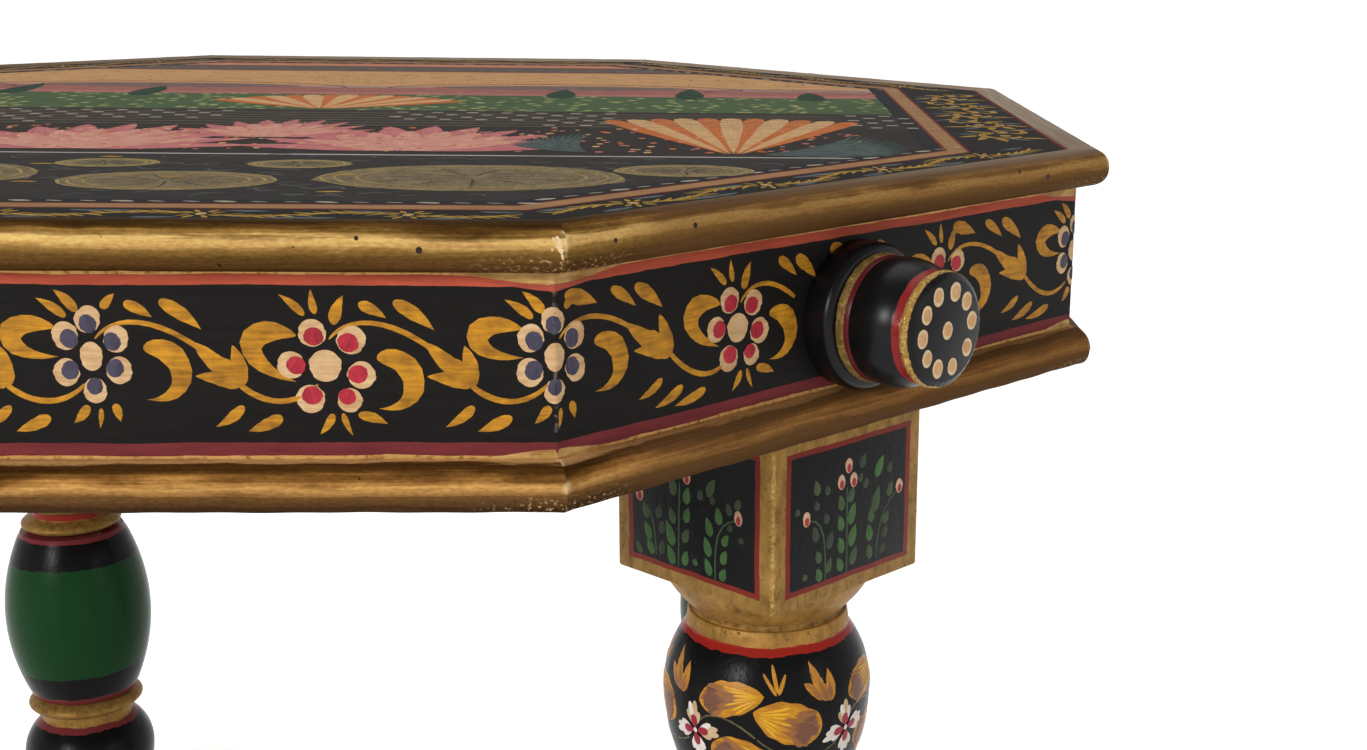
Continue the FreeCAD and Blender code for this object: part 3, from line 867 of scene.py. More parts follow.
def leg_outline():
    """(radius, level) of the turned part of a leg, from the block down."""
    leg = settings("legs")
    level = leg_levels()
    half = {name: getattr(leg, name) / 2 for name in leg.__annotations__}
    block_base = level["block_height"]
    edge = 0.4 * mm
    slope = np.linspace(0, 1, 12)
    wide = half["block_width"] - edge / 2
    shoulder = np.stack([wide + (half["neck_width"] - wide) * slope + mm * np.sin(slope * math.pi),
                         block_base - slope * leg.shoulder], -1)
    neck_level = level["shoulder"]
    groove = neck_level - leg.collar * 0.22
    lip = (half["neck_width"] + half["collar_width"]) / 2
    ring_top = level["bulb_lower"]
    ring_base = level["rings"]
    gap = leg.rings * 0.1
    middle = (ring_top + ring_base) / 2
    barrel_base = level["barrel"]
    ring_drop = leg.ankle * 0.62
    bun_top = level["ankle"]
    bun_widest = bun_top - (bun_top - leg.sole) * 0.42
    radius = half["barrel_width"]
    belly = np.linspace(-1, 1, 25)
    barrel = np.stack([radius - (radius - half["barrel_neck"]) * belly ** 2,
                       (ring_base + barrel_base) / 2 - belly * leg.barrel / 2], -1)
    pieces = [
        [[wide, block_base + mm]],
        shoulder,
        [[half["neck_width"], groove], [lip, groove - edge / 2],
         [lip + edge, groove - edge * 2], [half["collar_width"], level["collar"] + edge]],
        swelling(half["bulb_width"], level["bulb_upper"], half["collar_width"], level["collar"])[::-1],
        swelling(half["bulb_width"], level["bulb_upper"], half["waist_width"], ring_top, 26)[1:],
        ring_round(half["waist_width"], half["ring_width"], ring_top - edge, middle + gap),
        ring_round(half["waist_width"], half["ring_width"], middle - gap, ring_base + edge),
        [[half["barrel_neck"] - edge, ring_base]],
        barrel[1:-1],
        [[half["barrel_neck"] - edge, barrel_base + edge], [half["ankle_width"], barrel_base]],
        ring_round(half["ankle_width"], half["ankle_ring"], barrel_base - edge, barrel_base - ring_drop),
        [[half["ankle_width"], bun_top]],
        swelling(half["bun_width"], bun_widest, half["ankle_width"], bun_top)[::-1][1:],
        swelling(half["bun_width"], bun_widest, half["bun_foot"], leg.sole)[1:],
        [[half["sole_width"] - edge, leg.sole - edge / 2], [half["sole_width"], leg.sole - edge * 2],
         [half["sole_width"], edge], [half["sole_width"] - edge, 0]],
    ]
    return np.concatenate([np.array(piece) for piece in pieces])


def leg_axis():
    """Distance of a leg's axis from the middle, square to its side."""
    return apron_reach - settings("legs").block_width / 2


def turning_shell(columns=96):
    """Turned part of the leg of the front side: the outline revolved about its axis."""
    outline = leg_outline()
    turn = np.linspace(0, math.tau, columns, endpoint=False)[None, :]
    radius = outline[:, 0][:, None]
    points = np.stack([radius * np.cos(turn), radius * np.sin(turn) - leg_axis(),
                       outline[:, 1][:, None] + turn * 0], -1)
    round_turn = np.linspace(0, math.tau, columns + 1)[None, :]
    girth = settings("legs").bulb_width / 2
    uv = np.stack([round_turn * girth + radius * 0, outline[:, 1][:, None] + round_turn * 0], -1)
    return points, uv


def square_shell(low_y, high_y, bottom, top, rounding):
    """Upright square timber with rounded edges: an offset rounded square carried up."""
    half = settings("legs").block_width / 2
    steps = 5
    corner = np.linspace(0, math.pi / 2, steps)
    loop = []
    for quarter, (x, y) in enumerate(((half, low_y), (half, high_y), (-half, high_y), (-half, low_y))):
        inward = rounding if quarter in (0, 3) else -rounding
        centre = np.array([x - math.copysign(rounding, x), y + inward])
        turn = corner + math.pi / 2 * (quarter - 1)
        loop.append(centre + rounding * np.stack([np.cos(turn), np.sin(turn)], -1))
    loop = np.concatenate(loop)
    middle = np.array([0.0, (low_y + high_y) / 2])
    soft = rounding * 0.5
    rows = [(top, 1.0), (bottom + soft, 1.0), (bottom + soft * 0.3, 1 - soft * 0.3 / half),
            (bottom, 1 - soft / half)]
    points = np.stack([np.concatenate([middle + (loop - middle) * size,
                                       np.full((len(loop), 1), level)], -1) for level, size in rows])
    step = np.linalg.norm(np.diff(loop, axis=0, append=loop[:1]), axis=-1)
    around = np.concatenate([[0], step.cumsum()])
    start = -around[steps - 1] / 2
    around = (around + start) * (half * 8 / around[-1])
    levels = np.array([level for level, size in rows])
    uv = np.stack([around[None, :] + levels[:, None] * 0, levels[:, None] + around[None, :] * 0], -1)
    return points, uv


def boss_outline():
    """(radius, distance from the apron) of a boss, from its end back to the apron."""
    boss = settings("bosses")
    half = {name: getattr(boss, name) / 2 for name in boss.__annotations__}
    edge = 0.5 * mm
    round_off = boss.flange * 0.3
    turn = np.linspace(0, math.pi / 2, 8)
    flange = np.stack([half["flange_width"] - round_off * (1 - np.sin(turn)),
                       boss.flange - round_off * (1 - np.cos(turn))], -1)
    belly = boss.groove + (boss.barrel - boss.groove) * 0.38
    crest = half["ring_width"] + 0.7 * mm
    share = np.linspace(0, 1, 9)
    gilt_low = boss.barrel + gilt_start
    bulge = np.stack([half["ring_width"] - edge / 2 + 0.8 * mm * np.sin(share * math.pi),
                      boss.ring + (gilt_low - boss.ring) * share], -1)
    pieces = [
        [[half["end_width"] - edge, boss.end], [half["end_width"], boss.end - edge * 0.4],
         [crest - edge, boss.ring + 0.15 * mm]],
        bulge,
        [[half["ring_width"] - edge / 2, gilt_low - edge / 2], [half["ring_width"] + 0.1 * mm, boss.barrel]],
        swelling(half["barrel_width"], belly, half["ring_width"] + 0.4 * mm, boss.barrel - edge)[::-1],
        swelling(half["barrel_width"], belly, half["groove_width"], boss.groove)[1:],
        [[half["groove_width"] + 0.2 * mm, boss.groove - edge],
         [half["groove_width"] + 0.9 * mm, boss.flange + 0.9 * mm],
         [half["groove_width"] + 0.8 * mm, boss.flange + 0.1 * mm]],
        flange,
        [[half["flange_width"], edge], [half["flange_width"] - edge, 0]],
    ]
    return np.concatenate([np.array(piece) for piece in pieces])


def boss_shell(side, columns=120):
    """Boss of one side: its outline revolved about the way out of the apron. The gilt
    ring is lumpy, and the black rim before it is beaded by a wave round it."""
    boss = settings("bosses")
    random = np.random.default_rng(side)
    outline = boss_outline()
    radius = outline[:, 0][:, None]
    out = outline[:, 1][:, None]
    turn = np.linspace(0, math.tau, columns, endpoint=False)[None, :]
    in_ring = ((out > boss.barrel + 2 * mm) & (out < boss.ring + 0.1 * mm)).astype(float)
    in_rim = ((out >= boss.ring + 0.1 * mm) & (out < boss.end - 0.1 * mm)).astype(float)
    lumps = random.uniform(-0.18, 0.18, (len(outline), columns)) * mm
    lumps = (lumps + np.roll(lumps, 1, axis=1)) / 2
    beads = 0.2 * mm * np.sin(turn * 40) * (0.6 + 0.4 * np.sin(turn * 7 + side))
    radius = radius + in_ring * lumps + in_rim * beads
    points = np.stack([radius * np.cos(turn), -apron_reach - out + turn * 0,
                       boss_level + radius * np.sin(turn)], -1)
    round_turn = np.linspace(0, math.tau, columns + 1)[None, :]
    uv = np.stack([round_turn * boss.barrel_width / 2 + out * 0, out + round_turn * 0], -1)
    return turned(points, side), uv


# Painted ornament of the apron, in millimetres round the middle of a flower. Numbers of a
# leaf are its foot, its tip, its half width, its bend and how blunt its ends are.

def fan_marks(kind):
    """Pointed leaves over a flower and three under it."""
    under = [leaf(1.5, -13.0, -2.2, -18.6, 1.1, 0.08), leaf(4.0, -12.8, 6.4, -19.0, 0.8, -0.06),
             leaf(8.0, -13.3, 15.6, -15.8, 1.4, 0.08)]
    if kind == "red":
        return under + [leaf(-4.9, 13.4, -11.2, 19.0, 1.1, -0.06), leaf(-2.0, 13.8, -2.9, 20.4, 1.0, 0.05),
                        leaf(2.6, 11.0, 5.4, 18.8, 1.6, 0.08)]
    under = [leaf(-1.8, -13.2, -5.8, -18.0, 1.3, 0.08), leaf(1.4, -14.0, 0.8, -19.4, 0.7, 0.04),
             leaf(5.0, -12.8, 6.2, -17.6, 1.2, 0.04)]
    return under + [leaf(-5.8, 10.4, -13.0, 15.4, 1.25, -0.06), leaf(-3.0, 11.8, -8.4, 17.6, 1.4, -0.08),
                    leaf(3.6, 12.6, 7.0, 16.6, 1.2, 0.06)]


def crescent_marks(kind):
    """The two crescent leaves that hold a flower."""
    if kind == "red":
        left = stem(((-7.2, 8.0), (-20.8, 13.0), (-24.4, 0.8), (-7.8, -4.3)), 3.1, 0.62, 0.95)
    else:
        left = stem(((-8.7, 7.6), (-23.4, 12.4), (-25.0, -0.8), (-8.5, -0.1)), 2.9, 0.62, 0.95)
    return [left, stem(((13.4, 2.0), (24.6, 4.6), (27.2, -12.4), (13.6, -11.6)), 3.1, 0.5, 1.0)]


def vine_marks():
    """Stem from one flower to the next with a three-pointed leaf, and loose leaves."""
    return [
        stem(((1.2, 7.0), (6.4, 13.8), (17.2, 13.2), (29.0, 3.6)), 0.72, 0.3, 0.05),
        leaf(38.4, -5.4, 26.4, 6.2, 2.5, 0.02, 0.45, 0.75),
        leaf(38.0, -5.6, 36.3, 5.4, 2.1, -0.06, 0.45, 0.75),
        leaf(38.0, -5.2, 26.4, -2.9, 2.0, -0.06, 0.4, 0.8), leaf(37.8, -4.8, 31.2, 2.0, 2.6, 0.0, 0.5, 0.5),
        stem(((37.9, -5.4), (44.0, -11.0), (52.0, -11.2), (57.9, -5.0)), 0.8, 0.05, 0.2),
        leaf(9.2, 16.6, 16.2, 12.8, 1.5, 0.05), leaf(18.2, 17.2, 28.6, 9.6, 1.9, 0.05),
        leaf(38.3, -10.9, 30.8, -16.6, 1.4, 0.08), leaf(48.2, -13.8, 39.2, -17.8, 1.7, 0.04)]


def high_vine_marks():
    """Stem like the other one, with a higher leaf and three loose leaves on each side."""
    return [
        stem(((1.2, 7.2), (5.0, 13.0), (14.0, 13.8), (24.5, 5.6)), 0.72, 0.3, 0.05),
        leaf(36.5, -3.4, 21.8, 7.9, 2.6, 0.03, 0.45, 0.75),
        leaf(36.1, -3.8, 32.8, 8.4, 2.3, -0.04, 0.45, 0.75),
        leaf(36.4, -3.6, 24.4, -0.4, 2.0, -0.06, 0.4, 0.8), leaf(36.2, -3.0, 28.0, 3.8, 2.9, 0.0, 0.5, 0.5),
        stem(((36.5, -3.4), (43.0, -11.4), (50.5, -14.4), (56.8, -8.6)), 0.8, 0.05, 0.2),
        leaf(3.0, 18.6, 12.8, 15.0, 2.2, 0.05), leaf(17.2, 18.3, 25.0, 12.2, 1.6, 0.05),
        leaf(24.8, 17.9, 33.8, 10.4, 2.0, 0.05), leaf(33.6, -9.9, 25.8, -14.5, 1.3, 0.1),
        leaf(40.6, -13.3, 31.2, -18.0, 1.5, 0.08), leaf(48.6, -15.8, 37.8, -18.8, 1.5, 0.06)]


# Petals of a flower, as (angle in degrees, distance, half width)
red_petals = ((111, 9.1, 3.8), (45, 9.5, 3.8), (-14, 9.2, 3.8), (-57, 10.8, 3.3), (-114, 9.5, 3.8),
              (177, 8.8, 3.7))
violet_petals = ((90, 9.8, 3.2), (36, 8.4, 3.4), (-30, 8.0, 3.4), (-90, 9.5, 3.1), (-150, 7.9, 3.5),
                 (141, 8.4, 3.4))


def flower_marks(kind, random):
    """Cream petals, coloured petal centres and the cream middle of a flower."""
    cream, centre = [], []
    red = kind == "red"
    petal_tall = 1.0 if red else 1.12
    heart_wide, heart_tall = (0.7, 0.66) if red else (0.66, 0.76)
    for turn, spread, size in red_petals if red else violet_petals:
        turn = math.radians(turn)
        slip = random.uniform(-0.35, 0.35, 2)
        x, y = ray(0, 0, turn, spread) + slip
        size = size * random.uniform(0.96, 1.04)
        cream.append(dot(x, y, size * 0.98, size * petal_tall, random.uniform(-0.5, 0.5)))
        inner = random.uniform(0.9, 1.4) if red else 1.2
        centre.append(dot(*ray(x, y, turn, -inner), size * heart_wide, size * heart_tall,
                          random.uniform(-0.6, 0.6)))
    cream.append(dot(0, 0, 4.2, 4.3) if red else dot(0, 0, 2.9, 3.9))
    return cream, centre


def apron_marks():
    """Every mark of the apron: violet flowers on the corners, a little higher than the red
    ones at the quarters, a violet one in the middle of each side that has no boss, and
    strokes which widen the gilt and red lines towards the corners."""
    random = np.random.default_rng(11)
    vine, cream, red, violet, gold, brick = [], [], [], [], [], []
    raised = {"red": 0.0, "violet": 2.4 * mm}
    hearts = {"red": red, "violet": violet}
    # Lengths in millimetres: that the vine is drawn for, and past which it is parted
    vine_run = 60
    parted_run = 90
    for side in range(len(side_names)):
        start = side * apron_side
        gold += placed([leaf(way * 0.3, level, way * far, level + lift, width, 0.0, 0.1, 0.9)
                        for way in (-1, 1)
                        for level, far, lift, width in ((23.7, 26, 1.2, 2.1), (-24.2, 20, -1.2, 1.5))],
                       start)
        gold += placed([dot(0, 23.7, 2.0, 2.0)], start)
        brick += placed([dot(0, 21.0, 2.4, 1.2)], start)
        brick += placed([leaf(way * 0.3, 20.9, way * 19, 22.6, 1.15, 0.0, 0.1, 0.9) for way in (-1, 1)],
                        start)
        bossed = side in corner_sides
        if bossed:
            stops = [(0.0, "violet"), (0.285, "red"), (0.69, "red"), (1.0, "violet")]
            links = high_vine_marks()
        else:
            stops = [(0.0, "violet"), (0.25, "red"), (0.5, "violet"), (0.75, "red"), (1.0, "violet")]
            links = vine_marks()
        for (here, kind), (after, _) in zip(stops, stops[1:]):
            place = start + here * apron_side
            run = (after - here) * apron_side / mm
            petals, centres = flower_marks(kind, random)
            cream += placed(petals, place, raised[kind])
            hearts[kind] += placed(centres, place, raised[kind])
            vine += placed(fan_marks(kind) + crescent_marks(kind), place, raised[kind])
            if run < parted_run:
                vine += placed(links, place, stretch=run / vine_run)
            else:
                vine += placed(links[:1] + links[7:9], place)
                vine += placed(links[1:], start + after * apron_side - vine_run * mm)
    return vine, cream, red, violet, gold, brick


# Painted ornament of the blocks and bulbs, in millimetres. Stalks are cubic curves over
# the foot of a block, leaves are (middle x, middle z, length, lean, tone), buds (x, z).

even_face = (
    [((-0.8, 5.6), (-0.9, 15), (-1.2, 25), (-1.3, 35.5)),
     ((-11.2, 5.6), (-11.2, 18), (-11.4, 27), (-19, 27.6)),
     ((13.4, 7.4), (14.0, 16), (16.0, 25), (23.6, 28.4))],
    [(-4.3, 30.4, 5.0, -0.8, 1), (-4.4, 23.6, 5.0, -1.0, 2), (-4.2, 16.2, 5.4, -1.2, 2),
     (-4.6, 9.8, 4.6, -1.6, 2), (1.2, 32.0, 4.8, 1.6, 1), (1.7, 25.6, 6.8, 1.8, 2),
     (2.2, 18.2, 7.0, 1.8, 2), (2.7, 11.2, 5.8, 1.8, 1), (-14.6, 8.8, 4.4, -1.2, 2),
     (-14.8, 14.8, 4.0, -1.2, 1), (-16.4, 22.8, 5.0, -1.2, 0), (-9.3, 10.8, 4.6, 1.4, 1),
     (-8.8, 19.2, 5.6, 1.2, 0), (10.0, 10.6, 4.8, -0.8, 1), (9.7, 17.2, 5.6, -0.8, 2),
     (10.6, 23.0, 5.0, -0.2, 1), (13.6, 27.8, 8.0, 1.6, 1), (17.2, 10.2, 3.2, 1.4, 0),
     (18.2, 15.6, 3.8, 1.4, 0), (18.6, 20.4, 4.0, 1.6, 1), (20.4, 29.8, 4.6, 1.2, 1),
     (14.9, 38.6, 6.6, 2.8, 2), (6.6, 42.2, 4.4, 1.6, 0), (8.1, 34.4, 3.4, 1.0, 0),
     (-16.0, 37.8, 4.8, -0.8, 1), (-10.8, 36.0, 3.2, -0.4, 0), (-15.8, 32.0, 3.0, -0.6, 0),
     (-11.2, 26.8, 3.4, -0.8, 0), (-21.0, 9.6, 2.0, -0.8, 1), (-24.8, 31.8, 2.4, -0.4, 0),
     (5.4, 36.8, 2.6, 0.8, 0), (20.0, 37.2, 3.4, 1.0, 0)],
    [(-20.4, 28.6), (-0.7, 42.0), (-4.1, 37.2), (1.8, 36.8), (24.8, 29.8)])
odd_face = (
    [((-6.2, 6.2), (-6.0, 16), (-6.0, 26), (-5.6, 35.5)),
     ((-16.6, 7.7), (-17, 16), (-17.6, 24), (-24, 25.5)),
     ((10.7, 5.2), (9.6, 20), (11.4, 26), (20, 28))],
    [(-9.2, 33.4, 6.4, -0.8, 1), (-9.4, 23.2, 5.0, -1.2, 1), (-10.5, 17.0, 7.6, -2.4, 2),
     (-10.0, 9.8, 6.0, -2.0, 2), (-2.0, 31.4, 5.6, 0.8, 2), (-2.0, 24.8, 5.0, 1.0, 2),
     (-2.5, 17.8, 4.8, 1.8, 1), (-2.7, 10.2, 5.0, 1.0, 2), (7.3, 23.2, 5.8, -1.4, 2),
     (6.6, 16.4, 6.0, -1.6, 2), (7.0, 9.8, 5.2, -1.8, 2), (11.6, 27.8, 5.4, -0.6, 2),
     (16.2, 31.0, 3.8, -0.8, 0), (20.6, 33.4, 3.4, 1.6, 1), (15.2, 20.4, 3.8, 1.8, 2),
     (14.6, 14.6, 4.6, 1.4, 2), (14.2, 8.8, 4.2, 1.4, 2), (17.2, 25.0, 2.4, 1.0, 0),
     (-21.8, 22.2, 5.0, -1.6, 1), (-20.8, 15.6, 5.4, -2.2, 2), (-19.6, 10.4, 4.8, -2.2, 2),
     (-25.0, 8.8, 3.6, -2.2, 1), (-15.0, 23.2, 4.6, 0.8, 0), (-13.6, 18.2, 4.4, 0.8, 0),
     (-13.6, 11.4, 4.8, 0.8, 0), (4.0, 33.0, 3.4, 0.4, 0), (8.8, 36.2, 6.0, 2.6, 1),
     (1.7, 10.0, 2.2, 0.4, 2), (9.4, 32.4, 2.6, 0.3, 0), (-15.0, 34.0, 4.0, 0.8, 0),
     (22.0, 22.0, 2.0, 0.6, 0)],
    [(-24.4, 27.4), (-2.4, 37.6), (20.6, 29.0), (-7.6, 38.4)])
block_plants = (even_face, odd_face)


def plants(face):
    """Plants of one face of a block by tone: stalks, leaves and nodding buds with hearts."""
    stalks, leaves, buds = block_plants[face % 2]
    found = {"stalk": [stem(path, 0.36) for path in stalks], "bud": [], "heart": [],
             "shade_leaf": [], "dull_leaf": [], "leaf": []}
    for x, z, tall, lean, tone in leaves:
        rise = tall / 2 * 1.06
        found[("shade_leaf", "dull_leaf", "leaf")[tone]].append(
            leaf(x - lean * 0.6, z - rise, x + lean * 0.6, z + rise, 0.9 + tall * 0.15,
                 0.08 * np.sign(lean), 0.6, 0.95))
    for x, z in buds:
        found["bud"].append(dot(x, z, 1.75, 2.5, 0.06))
        found["heart"].append(dot(x + 0.1, z - 0.8, 1.0, 1.45))
    return found


# Strokes that shade a large leaf: tone, number of lanes, how far they spread, where they
# start and end along the leaf, and their width
leaf_strokes = (("umber", 15, 0.93, 0.0, 0.7, 0.12), ("rust", 11, 0.7, 0.03, 0.46, 0.12),
                ("gleam", 7, 0.86, 0.34, 0.93, 0.06))


def bulb_marks(random):
    """Marks of one quarter of a bulb, as (arc at the widest place, level over it): tufts,
    three large pointed leaves that are shaded at their blunt ends, and a thin stem."""
    tufts = [leaf(2.2, 8.6, -2.4, 15.4, 0.62, 0.0, 0.4, 0.5), leaf(2.6, 9.4, 0.9, 18.0, 0.75, 0.0, 0.4, 0.5),
             leaf(3.0, 8.8, 5.6, 15.0, 0.7, 0.0, 0.4, 0.5), leaf(20.2, 5.0, 15.0, 18.0, 2.1, 0.03, 0.5, 0.9),
             leaf(21.2, 4.6, 22.2, 14.8, 2.2, -0.06, 0.45, 0.9),
             leaf(18.6, 5.6, 12.0, 11.6, 1.6, -0.05, 0.5, 0.7)]
    big = [leaf(-25.0, 4.3, -2.0, 8.3, 5.9, 0.02, 0.62, 0.78),
           leaf(17.6, -5.4, -5.4, 3.1, 7.3, -0.02, 0.5, 0.72),
           leaf(-20.6, -11.5, 5.0, -17.6, 6.7, 0.03, 0.5, 0.75)]
    found = {"umber": [], "rust": [], "gleam": []}
    for path, half_width, _, _ in big:
        start = np.array(path[0])
        run = np.array(path[3]) - start
        away = np.array([-run[1], run[0]]) / np.linalg.norm(run) * half_width
        for name, lanes, reach, near, far, thin in leaf_strokes:
            for lane in np.linspace(-reach, reach, lanes):
                first = near + 0.14 * abs(lane) + random.uniform(0, 0.08)
                last = far * (1 - 0.4 * abs(lane)) * random.uniform(0.75, 1.1)
                narrow = 0.72
                if name == "gleam":
                    first = random.uniform(near, 0.6)
                    last = far
                    narrow = 0.12
                foot = start + run * first + away * lane * 0.9
                tip = start + run * last + away * lane * narrow
                found[name].append(leaf(*foot, *tip, half_width * thin, 0.02, 0.35, 0.9))
    found["umber"] += [leaf(20.3, 4.8, 17.4, 12.4, 1.0), leaf(21.1, 4.8, 22.0, 10.6, 1.1),
                       leaf(18.4, 5.8, 14.6, 9.4, 0.8)]
    found["tuft"] = tufts
    found["big"] = big
    found["line"] = [stem(((-25.2, -3.4), (-20.6, 2.8), (-12.4, 1.0), (-4.3, -6.3)), 0.42),
                     stem(((-4.3, -6.3), (2.6, -12.4), (13.0, -18.4), (25.0, -10.6)), 0.42)]
    return found


def blossom_marks(x, y, random):
    """Four ragged petals, each of four strokes that are white or tan, with crimson hearts
    round a small white eye."""
    found = {"petal": [], "tan_petal": [], "core": [], "eye": [dot(x, y, 0.8, 0.9)]}
    for number, name in enumerate(("tan_petal", "tan_petal", "petal", "petal")):
        turn = number * math.pi / 2 + 0.12
        for swing in (-0.36, -0.1, 0.14, 0.38):
            far = random.uniform(8.6, 10.2) if abs(swing) < 0.2 else random.uniform(6.6, 8.0)
            stroke = "petal" if random.uniform() < 0.25 else name
            found[stroke].append(leaf(*ray(x, y, turn + swing, far), *ray(x, y, turn, 1.6),
                                      1.25, 0.0, 0.5, 0.7))
        found["core"].append(leaf(*ray(x, y, turn, 5.4), *ray(x, y, turn, 1.0), 1.45, 0.0, 0.5, 0.6))
    return found


# Painted ornament of the top, in millimetres

def narrow_scroll(middle, room, random):
    """Leafy stem of a narrow border, x along it and y across: slanting leaves in two rows
    run away from small flowers, with long grey leaves between them."""
    count = 4
    run = middle * side_slope * 2 - 14
    step = run / count
    found = {"scroll": [], "grey_leaf": [], "seed": []}
    for number in range(count):
        centre = -run / 2 + step * (number + 0.5)
        found["seed"].append(dot(centre, 0, 1.5, 2.1))
        for turn in np.radians((28, 62, 118, 152, 208, 242, 298, 332)):
            found["scroll"].append(leaf(*ray(centre, 0, turn, 2.4, 3.2), *ray(centre, 0, turn, 6.8, 7.6),
                                        0.75, 0.0, 0.6, 0.8))
        for way in (-1, 1):
            stretch = way * step
            swing = room * 0.5 * way
            found["scroll"].append(stem(((centre + way * 3, 0), (centre + stretch * 0.2, swing),
                                         (centre + stretch * 0.36, swing), (centre + stretch * 0.5, 0)),
                                        0.4, 0.05, 0.05))
            for spot in range(6):
                share = (spot + 1.4) / 7
                x = centre + stretch * 0.5 * share
                y = swing * 0.75 * math.sin(share * math.pi)
                for up in (-1, 1):
                    angle = 0.44 + random.uniform(-0.1, 0.1)
                    size = random.uniform(5.4, 6.8)
                    foot = y + up * 0.4
                    found["scroll"].append(leaf(x, foot, *ray(x, foot, angle, way * size, up * size),
                                                0.6, -0.1 * up * way, 0.6, 0.8))
            side = -way if number % 2 else way
            for reach, level in ((0.2, -side), (0.44, side)):
                x = centre + stretch * reach
                found["grey_leaf"].append(leaf(x - 6, level * room * 0.66, x + 6, level * room * 0.56,
                                               1.35, 0.06, 0.8, 0.8))
    return found


def wide_scroll(middle, room, random):
    """Curling scroll of a wide border: hooks that turn in and out, fringed with leaves."""
    count = 5
    run = middle * side_slope * 2 - 30
    step = run / count
    size = room * 0.6
    turns = np.linspace(-0.8, 3.8, 9)
    found = {"scroll": [], "grey_leaf": [], "seed": []}
    for number in range(count):
        centre = -run / 2 + step * (number + 0.5)
        way = 1 if number % 2 else -1
        low = way * -room * 0.12
        found["seed"].append(dot(centre, low, 2.2, 2.2))
        arc = [ray(centre, low, turn, size * (1 - 0.08 * turn), way * size * (1 - 0.08 * turn))
               for turn in turns]
        for first, last in zip(arc, arc[1:]):
            found["scroll"].append(leaf(*first, *last, 0.5, -0.1 * way, 0.1, 0.1))
        for spot, (turn, (x, y)) in enumerate(zip(turns, arc)):
            reach = random.uniform(8.5, 10.5)
            foot = ray(x, y, way * turn, 1.4)
            found["grey_leaf" if spot % 4 == 3 else "scroll"].append(
                leaf(*foot, *ray(*foot, way * (turn + 0.75), reach), 1.55, 0.1 * way, 0.5, 0.9))
            found["seed" if spot % 3 == 1 else "scroll"].append(
                leaf(x, y, *ray(x, y, way * (turn + 2.4), 5.6), 1.1, 0.0, 0.5, 0.9))
        for spot in range(3):
            x = centre + step * 0.5 + random.uniform(-3, 3)
            y = -way * room * (0.2 + 0.2 * spot)
            found["scroll" if spot == 1 else "grey_leaf"].append(
                leaf(x, y, x + random.uniform(-4, 4), y - way * 7, 1.3, 0.1, 0.5, 0.9))
    return found


def rolled(point, middle, side):
    """Point beside the middle line of the border of one side, on the top."""
    return turned(np.array([point[0], -middle - point[1], 0]), side)[:2]


def border_marks():
    """Leafy scrolls of the border and the row of dashes inside the frame. On a narrow side
    a waving stem carries leaves along it; on a wide side it curls from hook to hook."""
    random = np.random.default_rng(8)
    top = settings("top")
    wide_sides = (2, 6)
    straight_sides = (0, 4)
    found = {"scroll": [], "grey_leaf": [], "seed": [], "dash": []}
    for side in range(len(side_names)):
        wide = side in wide_sides
        inner = top.frame_side if wide else top.frame_out
        middle = (inner + board_reach) / 2 / mm
        room = (board_reach - inner) / 2 / mm
        flat = wide_scroll(middle, room, random) if wide else narrow_scroll(middle, room, random)
        for name, marks in flat.items():
            found[name] += [([rolled(point, middle, side) for point in path], width, start, end)
                            for path, width, start, end in marks]
        if wide:
            continue
        reach = (top.frame_out - top.frame_width - top.band_width / 2) / mm
        run = 230.0 if side in straight_sides else reach * side_slope * 2 - 14
        count = int(run / 9)
        for number in range(count):
            x = -run / 2 + run * (number + 0.5) / count
            long, thick = (3.4, 1.3) if number % 3 == 0 else (2.6, 0.55)
            first, last = (rolled((x + end, 0.6 * end / 3), reach, side) for end in (-long, long))
            found["dash"].append(leaf(*first, *last, thick, 0.0, 0.7, 0.7))
    return {name: placed(marks) for name, marks in found.items()}


def leant(x, y, lean, wide, tall):
    """Point on an oval round a foot, at a lean from upright."""
    return x + wide * math.sin(lean), y + tall * math.cos(lean)


def fanned(spread, count):
    """Leans of a fan, from left to right."""
    return [spread * (2 * number / (count - 1) - 1) for number in range(count)]


def lotus_marks(x, y, size, tall):
    """Open lotus seen from the side: three fans of pointed petals with dark edges."""
    outer, inner, edges = [], [], []
    for count, reach, spread, group in ((11, 1.0, 1.4, outer), (8, 0.78, 1.0, inner), (5, 0.56, 0.55, outer)):
        for lean in fanned(spread, count):
            tip = leant(x, y, lean, size * reach, tall * reach)
            foot = leant(x, y, lean, size * 0.12, 0)
            group.append(leaf(*foot, *tip, size * 0.115, 0.05 * lean, 0.8, 0.8))
            edges += [leaf(*foot, *tip, size * 0.012, 0.05 * lean + way * 0.1, 0.3, 0.3) for way in (-1, 1)]
    return outer, inner, edges


def arch(x, y, wide, tall, half_width, parts=12, last=math.tau):
    """Outline of an oval, or of a part of it, in short curved strokes."""
    turns = np.linspace(0, last, parts + 1)
    return [leaf(*ray(x, y, turn, wide, tall), *ray(x, y, after, wide, tall), half_width, -0.07, 0.15, 0.15)
            for turn, after in zip(turns, turns[1:])]


def pad_marks(x, y, size):
    """Lily pad, seen flat, with its dark veins and pale rims."""
    flatness = 0.62
    veins, rims = [], []
    for number in range(11):
        turn = math.tau * number / 11 + 0.2
        veins.append(leaf(*ray(x, y, turn, size * 0.1, size * 0.06), *ray(x, y, turn, size * 0.8, size * 0.5),
                          0.5, 0.04, 0.3, 0.6))
    for reach in (0.76, 0.9, 0.99):
        rims += arch(x, y, size * reach, size * reach * flatness, 0.55)
    return dot(x, y, size, size * flatness), veins, rims


